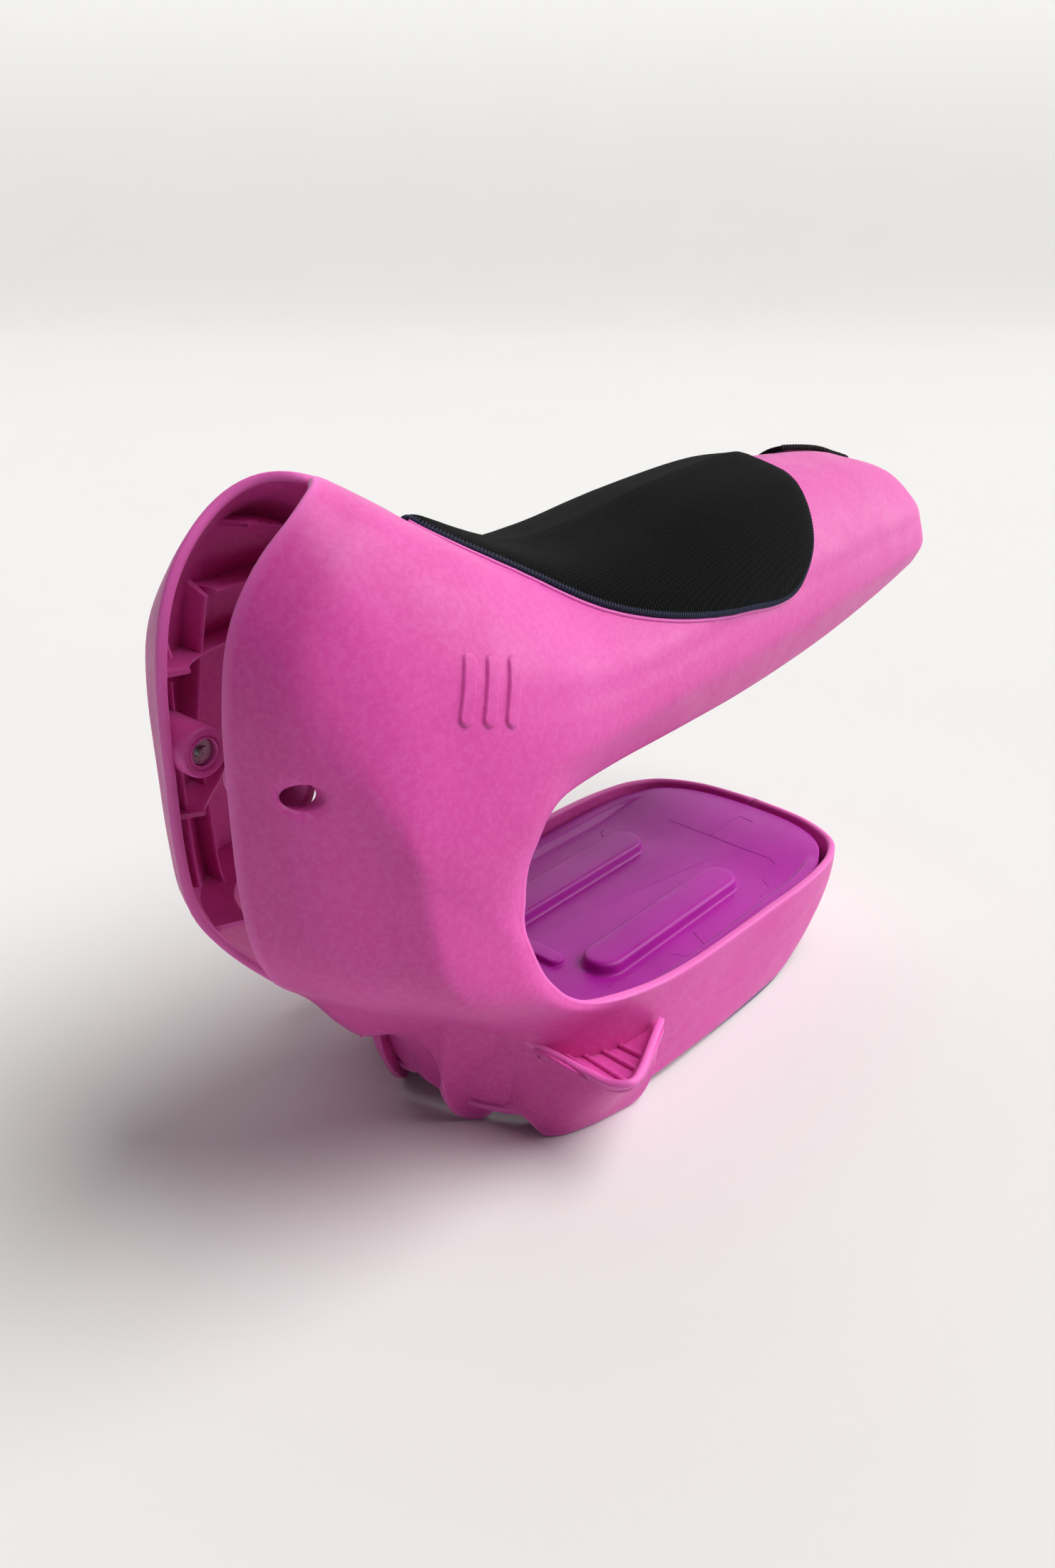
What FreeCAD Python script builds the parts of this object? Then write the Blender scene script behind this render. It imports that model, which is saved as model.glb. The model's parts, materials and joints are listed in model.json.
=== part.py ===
"""Ride-on foot saddle: a hollow C-shaped saddle that straps onto an adult's shoe and shin.

Frame, in millimetres: the origin is on the floor under the middle of the sole, +X runs
towards the open mouth and the saddle nose, +Y is the left side, and +Z is up.
The body is two mirrored half shells that meet on the plane Y = 0. The points of the
half shell are written once, for the left half.
"""
import FreeCAD
import Part
import math
import os

V = FreeCAD.Vector

# ---- driving dimensions ------------------------------------------------------------
WALL = 3.5                 # moulded wall of the half shells
SEAM = 0.15                # half of the gap between the two half shells
NOSE_X = 209.0             # centre of the round saddle nose
NOSE_R = 45.0              # radius of the saddle nose in plan
SLEEVE_X = -185.0          # rear screw sleeve, axis along Y
SLEEVE_Z = 187.0
SLEEVE_FACE = 10.0         # the sleeve ends this far from the middle plane
SLEEVE_WEB = 14.5          # inner side of the web that the screw clamps
SLEEVE_SEAT = 18.0         # seat of the screw head in the sleeve
SLEEVE_OD = 17.0
SLEEVE_ROOM = ((-197, 8), (-170, 8), (-170, 52.8), (-197, 16.2))   # plan of the room for it
SCREW_HOLE = 4.4
COUNTERBORE = 9.0
TRAY_FLOOR = 41.0          # top of the foot tray's floor
TRAY_THICK = 3.0
TRAY_HALF = 62.6           # half width of the tray
TREAD_H = 5.5              # height of the tray's foot ribs
SOLE_THICK = 2.6
SOLE_REAR = -34.0          # rear end of the flat sole
SOLE_FRONT = 82.0          # front end of the flat sole
FOAM = 3.0                 # thickness of the seat pad's foam
COVER = 1.0                # thickness of its knitted cover
HEM = 3.4                  # width and height of its sewn edge
PAD_REAR = -104.0
PAD_WIDE_X = 25.0          # where the pad is widest
PAD_FRONT = 112.0
PAD_HALF = 55.0            # half width of the pad there
STRAP_X0 = 171.0           # rear edge of the 50 mm strap
STRAP_W = 50.0
STRAP_T = 2.2
STRAP_END_Y = 12.0         # free end of the strap on top of the nose
STRAP_HINGE_Y = 33.0       # where the strap leaves the nose when it is peeled open

os.makedirs("parts", exist_ok=True)


def save(name, shape):
    """Write one node."""
    shape.exportStep("parts/" + name + ".step")


def mirrored(shape):
    """The same piece for the other side of the middle plane."""
    return shape.mirror(V(0, 0, 0), V(0, 1, 0))


# ---- sections of the left half shell -------------------------------------------------
# Every section runs from the outer boundary of the half shell (the seam on top of the
# saddle, the rim of the rear slot or the bottom edge) to the edge of the foot mouth.

TOP_ANGLES = (0, 30, 60, 75, 90)


def saddle_section(top, crease, low, lip):
    """A quarter ellipse from the seam to the side crease, then the lower face."""
    points = []
    for angle in TOP_ANGLES:
        s = math.sin(math.radians(angle))
        c = math.cos(math.radians(angle))
        x = top[0] + (crease[0] - top[0]) * s
        y = crease[1] * s
        z = crease[2] + (top[1] - crease[2]) * c
        points.append((x, y, z))
    return points + [low, lip]


def nose_section(angle, top):
    """A section of the round nose, turned by angle from the +X direction."""
    c = math.cos(math.radians(angle))
    s = math.sin(math.radians(angle))
    rings = ((NOSE_R, 181.0), (NOSE_R - 3, 171.0), (NOSE_R - 9, 169.0))
    ring_points = [(NOSE_X + r * c, r * s, z) for r, z in rings]
    return saddle_section(top, *ring_points)


# seam x and z on top, then x of the crease, half width and height of the crease,
# half width and height of the lower edge
SADDLE = (
    (160, 229, 170, 48.5, 179.5, 44.5, 165),
    (122, 234, 125, 53, 178.5, 48, 161),
    (80, 236, 80, 56, 178, 51, 159),
    (35, 233, 35, 58.5, 177, 54, 158),
    (-10, 227, -10, 60.5, 176, 56, 158.5),
    (-50, 225, -50, 62.5, 176, 58, 160),
    (-88, 239, -82, 65, 174.5, 61, 160),
)

# hump, rear slot rim, keel, rear wall and bottom edge, each from the outer boundary
# over the two soft creases of the side to the mouth edge
BACK = (
    (
        (-118, 0, 257), (-115, 31, 245), (-110, 52, 214), (-107, 60, 195),
        (-104, 65, 177), (-101, 66, 164), (-99, 61, 155),
    ),
    (
        (-143, 0, 269), (-140, 28, 257), (-134, 49, 222), (-129, 58, 199),
        (-122, 64, 175), (-113, 66, 158), (-107, 62, 149),
    ),
    (
        (-150, 15, 268), (-151, 33, 252), (-146, 50, 216), (-140, 58, 192),
        (-131, 64, 169), (-119, 66, 152), (-111, 62, 144),
    ),
    (
        (-165, 18, 263), (-164, 35, 245), (-157, 51, 210), (-150, 58, 186),
        (-139, 64, 162), (-124, 66, 146), (-114, 63, 139),
    ),
    (
        (-180, 18, 250), (-177, 35, 232), (-166, 51, 199), (-157, 58, 177),
        (-144, 64, 155), (-127, 66, 140), (-115, 63, 134),
    ),
    (
        (-190, 17, 234), (-184, 35, 219), (-171, 51, 190), (-160, 58, 171),
        (-145, 64, 150), (-127, 66, 135), (-116, 64, 129),
    ),
    (
        (-195, 17, 211), (-187, 35, 200), (-171, 52, 178), (-160, 59, 162),
        (-145, 64, 144), (-128, 66, 130), (-117, 64, 124),
    ),
    (
        (-196, 17, 180), (-187, 35, 174), (-169, 52, 162), (-158, 59, 152),
        (-143, 64, 138), (-127, 67, 124), (-117, 65, 118),
    ),
    (
        (-196, 17, 151), (-186, 36, 148), (-167, 53, 141), (-156, 60, 134),
        (-141, 65, 125), (-125, 67, 116), (-115, 66, 112),
    ),
    (
        (-195, 17, 129), (-185, 37, 126), (-165, 54, 121), (-153, 61, 117),
        (-138, 66, 111), (-122, 68, 107), (-113, 67, 105),
    ),
    (
        (-184, 14, 111), (-175, 34, 109), (-156, 54, 106), (-145, 62, 103),
        (-131, 67, 100), (-117, 69, 98), (-109, 67, 97),
    ),
    (
        (-177, 2, 99), (-164, 28, 97), (-146, 51, 95), (-137, 60, 93),
        (-125, 66, 91), (-112, 69, 90), (-104, 68, 90),
    ),
    (
        (-160, 0, 84), (-149, 24, 84), (-134, 46, 83), (-126, 56, 82),
        (-116, 64, 82), (-104, 69, 82), (-97, 68, 82),
    ),
    (
        (-150, 0, 68), (-137, 19, 71), (-123, 39, 72), (-115, 50, 72),
        (-106, 61, 73), (-95, 68, 74), (-87, 68, 74),
    ),
    (
        (-141, 0, 53), (-127, 15, 60), (-115, 34, 62), (-107, 45, 62),
        (-97, 56, 63), (-83, 67, 66), (-73, 69, 67),
    ),
    (
        (-120, 0, 47), (-115, 18, 49), (-103, 38, 51), (-95, 48, 52),
        (-84, 57, 54), (-66, 66, 58), (-55, 69, 61),
    ),
    (
        (-113, 0, 32), (-108, 21, 32), (-95, 43, 34), (-85, 53, 36),
        (-70, 62, 41), (-50, 67, 50), (-35, 69, 56),
    ),
    (
        (-110, 0, 16), (-104, 26, 15), (-84, 51, 16), (-68, 60, 20),
        (-48, 65, 29), (-28, 68, 42), (-10, 69, 53),
    ),
    (
        (-103, 26, 13), (-80, 52, 11), (-50, 62, 15), (-34, 65, 21),
        (-18, 67, 29), (-3, 68, 41), (12, 69, 52),
    ),
    (
        (-80, 53, 9), (-52, 61, 10), (-25, 65, 15), (-11, 66, 21),
        (4, 67, 30), (18, 68, 41), (32, 69, 51),
    ),
    (
        (-45, 62, 4), (-23, 64, 8), (0, 66, 16), (13, 67, 23),
        (27, 68, 31), (41, 69, 41), (54, 69, 51),
    ),
    (
        (0, 64, 3), (18, 66, 9), (37, 67, 19), (47, 68, 26),
        (57, 68, 33), (68, 69, 42), (78, 69, 50),
    ),
    (
        (45, 66, 3), (55, 67, 10), (68, 68, 21), (75, 68, 27),
        (83, 69, 34), (92, 68, 42), (100, 68, 49),
    ),
)

# bottom edge and rim of the sloping front wall
PROW = (
    ((82, 63, 3), (120, 63, 48)),
    ((104, 54, 9), (136, 53, 47)),
    ((122, 34, 13), (146, 31, 47)),
    ((130, 0, 16), (149, 0, 47)),
)
PROW_STEPS = (0.0, 0.25, 0.5, 0.65, 0.78, 0.9, 1.0)


def prow_section(bottom, rim):
    """The front wall leans out from the bottom edge and turns upright at the rim."""
    points = []
    for f in PROW_STEPS:
        out = math.sin(f * math.pi / 2)
        rise = 0.65 * f + 0.35 * (1 - math.cos(f * math.pi / 2))
        x = bottom[0] + (rim[0] - bottom[0]) * out
        y = bottom[1] + (rim[1] - bottom[1]) * out
        z = bottom[2] + (rim[2] - bottom[2]) * rise
        points.append((x, y, z))
    return points


def shell_sections():
    """All sections of the half shell, from the nose seam to the front seam of the base."""
    sections = [
        nose_section(0, (224, 217)),
        nose_section(30, (215, 219)),
        nose_section(60, (204, 221)),
        nose_section(90, (190, 224)),
    ]
    for x, z, crease_x, half, crease_z, low_half, low_z in SADDLE:
        crease = (crease_x, half, crease_z)
        low = (crease_x, low_half, low_z)
        lip = (crease_x, low_half - 6, low_z - 2)
        sections.append(saddle_section((x, z), crease, low, lip))
    sections += [list(row) for row in BACK]
    sections += [prow_section(bottom, rim) for bottom, rim in PROW]
    return sections


# ---- smooth grids ----------------------------------------------------------------------
def smooth_line(points, steps):
    """Catmull-Rom curve through the points, with steps points in each span."""
    first = tuple(2 * a - b for a, b in zip(points[0], points[1]))
    last = tuple(2 * a - b for a, b in zip(points[-1], points[-2]))
    line = [first] + list(points) + [last]
    result = []
    for i in range(1, len(line) - 2):
        p0, p1, p2, p3 = line[i - 1:i + 3]
        for k in range(steps):
            t = k / steps
            point = []
            for a, b, c, d in zip(p0, p1, p2, p3):
                cubic = (3 * b - a - 3 * c + d) * t ** 3
                square = (2 * a - 5 * b + 4 * c - d) * t ** 2
                point.append(0.5 * (2 * b + (c - a) * t + square + cubic))
            result.append(tuple(point))
    result.append(tuple(points[-1]))
    return result


def smooth_grid(sections, along, across):
    """Refine a list of sections in both directions."""
    rows = [smooth_line(row, across) for row in sections]
    columns = [smooth_line(column, along) for column in zip(*rows)]
    return [list(row) for row in zip(*columns)]


def grid_normals(grid):
    """Unit normals of a grid of points, by differences."""
    rows = len(grid)
    count = len(grid[0])
    normals = []
    for i in range(rows):
        line = []
        for j in range(count):
            down = V(*grid[min(i + 1, rows - 1)][j]) - V(*grid[max(i - 1, 0)][j])
            side = V(*grid[i][min(j + 1, count - 1)]) - V(*grid[i][max(j - 1, 0)])
            normal = down.cross(side)
            line.append(normal.normalize() if normal.Length > 1e-9 else V(0, 0, 1))
        normals.append(line)
    return normals


def offset_grid(grid, distance):
    """Move every point of a grid along its normal."""
    normals = grid_normals(grid)
    moved = []
    for row, normal_row in zip(grid, normals):
        moved.append([tuple(V(*p) + n * distance) for p, n in zip(row, normal_row)])
    return moved


def knots(count):
    """Even knots of a cubic curve that starts and ends on its first and last pole."""
    spans = count - 3
    return [float(k) for k in range(spans + 1)], [4] + [1] * (spans - 1) + [4]


def skin(grid):
    """One smooth cubic surface that hugs a fine grid of points."""
    surface = Part.BSplineSurface()
    u_knots, u_mults = knots(len(grid))
    v_knots, v_mults = knots(len(grid[0]))
    poles = [[V(*p) for p in row] for row in grid]
    surface.buildFromPolesMultsKnots(poles, u_mults, v_mults, u_knots, v_knots, False, False, 3, 3)
    return surface


def ribbon(line, other):
    """Straight-sided strip between two edge lines."""
    surface = Part.BSplineSurface()
    v_knots, v_mults = knots(len(line))
    poles = [[V(*p) for p in line], [V(*p) for p in other]]
    surface.buildFromPolesMultsKnots(poles, [2, 2], v_mults, [0.0, 1.0], v_knots, False, False, 1, 3)
    return surface


def plate(outer, inner):
    """Closed solid between two grids of the same size."""
    surfaces = [skin(outer), skin(inner)]
    surfaces.append(ribbon(outer[0], inner[0]))
    surfaces.append(ribbon(outer[-1], inner[-1]))
    surfaces.append(ribbon([row[0] for row in outer], [row[0] for row in inner]))
    surfaces.append(ribbon([row[-1] for row in outer], [row[-1] for row in inner]))
    shell = Part.makeShell([surface.toShape() for surface in surfaces])
    shell.sewShape()
    solid = Part.makeSolid(shell)
    if solid.Volume < 0:
        solid.reverse()
    return solid


def on_seam(grid, seam_rows):
    """Keep the seam edges of the half shell beside the middle plane."""
    last = len(grid) - 1
    for i, row in enumerate(grid):
        for j, (x, y, z) in enumerate(row):
            seam_edge = i in (0, last) or (j == 0 and seam_rows[i])
            row[j] = (x, SEAM if seam_edge else max(y, SEAM), z)
    return grid


# ---- half shells -----------------------------------------------------------------------
ALONG = 2
ACROSS = 2
SECTIONS = shell_sections()
OUTER = smooth_grid(SECTIONS, ALONG, ACROSS)
SEAM_ROWS = [row[0][1] < 1.0 for row in OUTER]
OUTER = on_seam(OUTER, SEAM_ROWS)


def side_of(point_grid):
    """+1 or -1, the side of the grid's normals that points into the shell."""
    middle = point_grid[len(point_grid) // 2][len(point_grid[0]) // 2]
    normal = grid_normals(point_grid)[len(point_grid) // 2][len(point_grid[0]) // 2]
    return -1.0 if normal.y * middle[1] > 0 else 1.0


INWARD = side_of(OUTER)
INNER = on_seam(offset_grid(OUTER, INWARD * WALL), SEAM_ROWS)


def box(x0, x1, y0, y1, z0, z1):
    """Box from its limits."""
    return Part.makeBox(x1 - x0, y1 - y0, z1 - z0, V(x0, y0, z0))


def rod(radius, start, end):
    """Round bar between two points."""
    axis = V(*end) - V(*start)
    return Part.makeCylinder(radius, axis.Length, V(*start), axis)


def prism(outline, z0, z1):
    """Upright solid over a smooth closed outline given by its left half."""
    right = [(x, -y) for x, y in reversed(outline) if y > 0]
    points = [V(x, y, z0) for x, y in list(outline) + right]
    curve = Part.BSplineCurve()
    curve.interpolate(points, PeriodicFlag=True)
    face = Part.Face(Part.Wire([curve.toShape()]))
    return face.extrude(V(0, 0, z1 - z0))


# ---- flared skirt with the side step -----------------------------------------------------
# lower edge and upper edge of the skirt, from the middle of the rear arch over the two
# paws to the front end of the side step
SKIRT = (
    ((-120, 0, 47), (-139, 0, 54)),
    ((-119, 9, 46), (-131, 9, 60)),
    ((-117, 17, 40), (-124, 19, 66)),
    ((-116, 20, 28), (-120, 29, 70)),
    ((-109, 18, 8), (-115, 35, 69)),
    ((-99, 23, 0), (-110, 40, 65)),
    ((-96, 33, 10), (-103, 44, 59)),
    ((-94, 43, 10), (-95, 50, 49)),
    ((-89, 50, 1), (-91, 61, 45)),
    ((-84, 55, 0), (-91, 74, 45)),
    ((-78, 58, 0), (-90, 84, 45)),
    ((-70, 61, 0), (-84, 90, 45)),
    ((-62, 63, 0), (-74, 88, 45)),
    ((-53, 65, 0), (-60, 82, 44)),
    ((-45, 67, 3), (-47, 76, 42)),
    ((-40, 69, 12), (-37, 71, 39)),
)
SKIRT_STEPS = (0.0, 0.35, 0.7, 1.0)
SKIRT_WALL = 3.2
# floor of the side step: its edge on the hull and its edge inside the skirt's rim
STEP_INNER = (
    (-96, 46.5, 51), (-89.9, 49.9, 45.5), (-82.4, 54.2, 39.9), (-74.3, 57.4, 36.5),
    (-65.5, 60.1, 34.7), (-56.9, 62, 33.5), (-47, 63.4, 33.6), (-35, 65, 34),
)
STEP_OUTER = (
    (-94.5, 52, 47), (-90, 76, 43.5), (-87.5, 83.5, 43), (-82.6, 87.5, 43),
    (-74.2, 87.2, 43), (-66, 84.4, 43), (-57.5, 81.2, 42.6), (-41, 73.5, 39),
)
STEP_THICK = 2.5
GRIP_HALF = 0.9            # half width of a grip rib
GRIP_RISE = 1.3
GRIPS = (2, 3, 4, 5)       # the points that the grip ribs run between


def skirt_sections():
    """Each section is slightly hollow between its lower and upper edge."""
    rows = []
    for low, high in SKIRT:
        row = []
        for f in SKIRT_STEPS:
            g = f ** 1.25
            x = low[0] + (high[0] - low[0]) * g
            y = low[1] + (high[1] - low[1]) * g
            z = low[2] + (high[2] - low[2]) * f
            row.append((x, y, z))
        rows.append(row)
    return rows


def skirt():
    """Flared skirt with its two paws, as one curved plate."""
    outer = smooth_grid(skirt_sections(), 2, 2)
    inner = offset_grid(outer, side_of(outer) * SKIRT_WALL)
    for grid in (outer, inner):
        for i, row in enumerate(grid):
            grid[i] = [(x, SEAM if i == 0 else max(y, SEAM), max(z, 0.0)) for x, y, z in row]
    return plate(outer, inner)


def step_floor():
    """Floor of the side step, which rises to the rim, with its grip ribs."""
    top = []
    for k in range(5):
        f = k / 4
        row = [V(*a) + (V(*b) - V(*a)) * f for a, b in zip(STEP_INNER, STEP_OUTER)]
        top.append([tuple(point) for point in row])
    floor = plate(top, [[(x, y, z - STEP_THICK) for x, y, z in row] for row in top])
    grips = []
    for k in GRIPS:
        start = V(*STEP_INNER[k])
        end = V(*STEP_OUTER[k])
        side = (end - start).cross(V(0, 0, 1)).normalize() * GRIP_HALF
        corners = []
        for way, lift in ((-1, -1.0), (1, -1.0), (1, GRIP_RISE), (-1, GRIP_RISE)):
            corners.append(start + side * way + V(0, 0, lift))
        bar = Part.Face(Part.makePolygon(corners + corners[:1]))
        grips.append(bar.extrude((end - start) * 0.93))
    return floor.fuse(grips)


# ---- ribs and screw sleeve inside the rear of a half shell ---------------------------------
COLUMN_ROWS = slice(26, 46)      # rows of the fine grid that make the upright column
COLUMN_SIDE = slice(0, 9)        # from the slot's rim to the second side crease
RIB_DEPTH = 12.0
RIB_HEIGHTS = (120, 152.5, 209, 231)
UPRIGHT_X = (-185.0, -173.0)
RIB_HALF = 0.9


def column_layer():
    """Layer on the inside of the column's wall, as deep as its ribs."""
    column = [row[COLUMN_SIDE] for row in OUTER[COLUMN_ROWS]]
    outer = offset_grid(column, INWARD * WALL * 0.5)
    inner = offset_grid(column, INWARD * (WALL + RIB_DEPTH))
    return plate(outer, inner)


def column_ribs():
    """Level and upright stiffening ribs, seen through the slot at the rear."""
    slabs = [box(-200, -110, 14, 70, z - RIB_HALF, z + RIB_HALF) for z in RIB_HEIGHTS]
    slabs += [box(x - RIB_HALF, x + RIB_HALF, 14, 70, 112, 244) for x in UPRIGHT_X]
    layer = column_layer()
    return [slab.common(layer) for slab in slabs]


def sleeve():
    """Screw sleeve, cut off slantwise inside the wall that it grows from."""
    tube = rod(SLEEVE_OD / 2, (SLEEVE_X, 60, SLEEVE_Z), (SLEEVE_X, SLEEVE_FACE, SLEEVE_Z))
    corners = [V(x, y, SLEEVE_Z - 20) for x, y in SLEEVE_ROOM]
    room = Part.Face(Part.makePolygon(corners + corners[:1])).extrude(V(0, 0, 40))
    return tube.common(room)


def half_shell():
    """Left half shell with skirt, step, ribs, screw sleeve and its stepped hole."""
    half = plate(OUTER, INNER)
    half = half.fuse([skirt(), step_floor()])
    for rib in column_ribs():
        half = half.fuse(rib)
    half = half.fuse(sleeve())
    half = half.cut(rod(COUNTERBORE / 2, (SLEEVE_X, 60, SLEEVE_Z), (SLEEVE_X, SLEEVE_SEAT, SLEEVE_Z)))
    half = half.cut(rod(SCREW_HOLE / 2, (SLEEVE_X, 30, SLEEVE_Z), (SLEEVE_X, 0, SLEEVE_Z)))
    face_bore = rod(COUNTERBORE / 2, (SLEEVE_X, SLEEVE_WEB, SLEEVE_Z), (SLEEVE_X, 0, SLEEVE_Z))
    half = half.cut(face_bore)
    half = half.cut(sole_profile(0.1).common(box(-38, 300, -100, 100, -50, 50)))
    for hole in spine_holes():
        half = half.cut(hole)
    return half


def sleeve_screw():
    """Pan head screw in the left sleeve."""
    head_y = SLEEVE_SEAT + 3.0
    tip_y = SLEEVE_FACE + 0.5
    return screw(4.1, 3.0, 2.0, (SLEEVE_X, head_y, SLEEVE_Z), (SLEEVE_X, tip_y, SLEEVE_Z))


def sleeve_nut():
    """Round nut pressed into the inner end of the left sleeve."""
    outer = rod(4.2, (SLEEVE_X, SLEEVE_WEB - 0.1, SLEEVE_Z), (SLEEVE_X, SLEEVE_WEB - 2.8, SLEEVE_Z))
    return outer.cut(rod(2.05, (SLEEVE_X, 0, SLEEVE_Z), (SLEEVE_X, 30, SLEEVE_Z)))


# ---- outsole, base plate and foot tray ------------------------------------------------------
SOLE_PLAN = (
    (-94, 0), (-89, 18), (-72, 41), (-45, 54.5), (-20, 60), (0, 62.5),
    (45, 64.5), (82, 61), (102, 51), (118, 32), (125, 0),
)
SOLE_RISE = 10.9           # how far both ends of the sole profile turn up
BASE_X0, BASE_X1, BASE_Y = -33.0, 80.0, 54.0
BASE_THICK = 3.0
PILLAR_X = (-20.0, 22.0, 64.0)
PILLAR_Y = 28.5
PILLAR_R = 5.0
TRAY_PLAN = (
    (-107, 0), (-101, 20), (-90, 35), (-76, 47), (-58, 56), (-35, 60.5), (0, 62.6),
    (60, 63), (100, 61.5), (122, 54), (134, 42), (140.5, 24), (142, 0),
)
TRAY_TOP = 46.0
TRAY_EDGE = 2.5
TREAD_X0, TREAD_X1 = -32.0, 76.0
TREAD_Y = 28.5
TREAD_HALF = 9.5


def sole_profile(extra):
    """Side profile of the outsole, flat in the middle and turned up at both ends."""
    top = SOLE_THICK + extra
    side = (
        (-108, SOLE_RISE), (SOLE_REAR, 0), (SOLE_FRONT, 0), (126, SOLE_RISE),
        (126, SOLE_RISE + top), (SOLE_FRONT, top), (SOLE_REAR, top), (-108, SOLE_RISE + top),
    )
    points = [V(x, -90, z) for x, z in side]
    return Part.Face(Part.makePolygon(points + points[:1])).extrude(V(0, 180, 0))


def outsole():
    """Rubber sole under the base."""
    return prism(SOLE_PLAN, -5, 30).common(sole_profile(0.0))


def base_plate():
    """Stiff plate on the outsole with the pillars that carry the foot tray."""
    z0 = SOLE_THICK + 0.1
    plate_solid = box(BASE_X0, BASE_X1, -BASE_Y, BASE_Y, z0, z0 + BASE_THICK)
    upright = [edge for edge in plate_solid.Edges if abs(edge.BoundBox.ZLength - BASE_THICK) < 0.01]
    plate_solid = plate_solid.makeFillet(16.0, upright)
    pillars = []
    holes = []
    for x in PILLAR_X:
        for y in (-PILLAR_Y, PILLAR_Y):
            pillars.append(rod(PILLAR_R, (x, y, z0), (x, y, TRAY_FLOOR - TRAY_THICK)))
            holes.append(rod(2.0, (x, y, 0), (x, y, 60)))
            holes.append(rod(3.6, (x, y, z0), (x, y, z0 + 24)))
    return plate_solid.fuse(pillars).cut(holes)


def tread(x0, x1, y, half, height):
    """Rounded rib with a rolled upper edge on the tray's floor."""
    z0 = TRAY_FLOOR - 0.5
    ends = [rod(half, (x, y, z0), (x, y, TRAY_FLOOR + height)) for x in (x0 + half, x1 - half)]
    bar = box(x0 + half, x1 - half, y - half, y + half, z0, TRAY_FLOOR + height)
    rib = bar.fuse(ends).removeSplitter()
    top = [edge for edge in rib.Edges if edge.BoundBox.ZMin > TRAY_FLOOR + height - 0.01]
    return rib.makeFillet(min(2.0, height * 0.5), top)


def foot_tray():
    """Dish under the adult's shoe with two long ribs and a short cross rib."""
    dish = prism(TRAY_PLAN, TRAY_FLOOR - TRAY_THICK, TRAY_TOP)
    shrink = 1 - TRAY_EDGE / TRAY_HALF
    inside = [((x - 18) * shrink + 18, y * shrink) for x, y in TRAY_PLAN]
    dish = dish.cut(prism(inside, TRAY_FLOOR, TRAY_TOP + 5))
    treads = [tread(TREAD_X0, TREAD_X1, side * TREAD_Y, TREAD_HALF, TREAD_H) for side in (-1, 1)]
    cross = tread(-15, 15, 0, 4.0, 2.5)
    cross.rotate(V(0, 0, 0), V(0, 0, 1), 90)
    cross.translate(V(-36, 0, 0))
    dish = dish.fuse(treads + [cross])
    pilots = []
    for x in PILLAR_X:
        for y in (-PILLAR_Y, PILLAR_Y):
            pilots.append(rod(1.6, (x, y, 30), (x, y, TRAY_FLOOR + 3.5)))
    return dish.cut(pilots)


def screw(head_r, head_h, shank_r, head_at, tip_at):
    """Pan head screw from its head's outer face to its tip."""
    axis = V(*tip_at) - V(*head_at)
    under = V(*head_at) + V(axis).normalize() * head_h
    head = rod(head_r, head_at, tuple(under))
    return head.fuse(rod(shank_r, tuple(under), tip_at))


def tray_screws():
    """Six screws up through the pillars into the tray's ribs."""
    head_z = SOLE_THICK + 0.1 + 24
    return [
        screw(3.2, 2.4, 1.6, (x, y, head_z - 2.4), (x, y, TRAY_FLOOR + 3.0))
        for x in PILLAR_X for y in (-PILLAR_Y, PILLAR_Y)
    ]


# ---- seat pad ----------------------------------------------------------------------------------
SADDLE_ROWS = 34          # rows of the fine grid that make the top of the saddle
SADDLE_COLUMNS = 8        # columns from the seam to the side crease


def top_point(x, y):
    """Height of the saddle's outer skin over a place in plan."""
    y = max(abs(y), SEAM)
    for i in range(SADDLE_ROWS):
        for j in range(SADDLE_COLUMNS):
            a, b = OUTER[i][j], OUTER[i + 1][j]
            c, d = OUTER[i + 1][j + 1], OUTER[i][j + 1]
            for p, q, r in ((a, b, c), (a, c, d)):
                area = (q[0] - p[0]) * (r[1] - p[1]) - (q[1] - p[1]) * (r[0] - p[0])
                if abs(area) < 1e-9:
                    continue
                u = ((x - p[0]) * (r[1] - p[1]) - (y - p[1]) * (r[0] - p[0])) / area
                v = ((q[0] - p[0]) * (y - p[1]) - (q[1] - p[1]) * (x - p[0])) / area
                if u >= -1e-6 and v >= -1e-6 and u + v <= 1 + 1e-6:
                    return p[2] + u * (q[2] - p[2]) + v * (r[2] - p[2])
    raise ValueError("no saddle under %g, %g" % (x, y))


def pad_half_width(x):
    """Half width of the egg-shaped pad: round at the front, drawn out to the rear."""
    if x > PAD_WIDE_X:
        f = (x - PAD_WIDE_X) / (PAD_FRONT - PAD_WIDE_X)
        return PAD_HALF * max(1 - f ** 4.5, 0.0) ** 0.4
    f = (PAD_WIDE_X - x) / (PAD_WIDE_X - PAD_REAR)
    return PAD_HALF * max(1 - f * f, 0.0) ** 0.68


def pad_grid(inset, rows, columns):
    """Grid of points on the saddle inside the pad's outline."""
    middle = (PAD_FRONT + PAD_REAR) / 2
    reach = (PAD_FRONT - PAD_REAR) / 2 - inset
    grid = []
    for i in range(rows):
        x = middle - reach * 0.985 * math.cos(math.pi * i / (rows - 1))
        half = max(pad_half_width(x) - inset, 5.0)
        row = []
        for j in range(columns):
            y = half * (2 * j / (columns - 1) - 1)
            row.append((x, y, top_point(x, y)))
        grid.append(row)
    return grid


def lifted(grid, height):
    """Offset a grid to its upper side."""
    up = 1.0 if grid_normals(grid)[len(grid) // 2][len(grid[0]) // 2].z > 0 else -1.0
    return offset_grid(grid, up * height)


PAD_GAP = 1.0              # glue and tape under the foam
PAD_INSET = HEM + 3.6      # foam and cover end inside the sewn edge


def seat_foam():
    """Foam layer glued to the saddle."""
    grid = pad_grid(PAD_INSET, 25, 13)
    return plate(lifted(grid, PAD_GAP + FOAM), lifted(grid, PAD_GAP))


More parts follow.
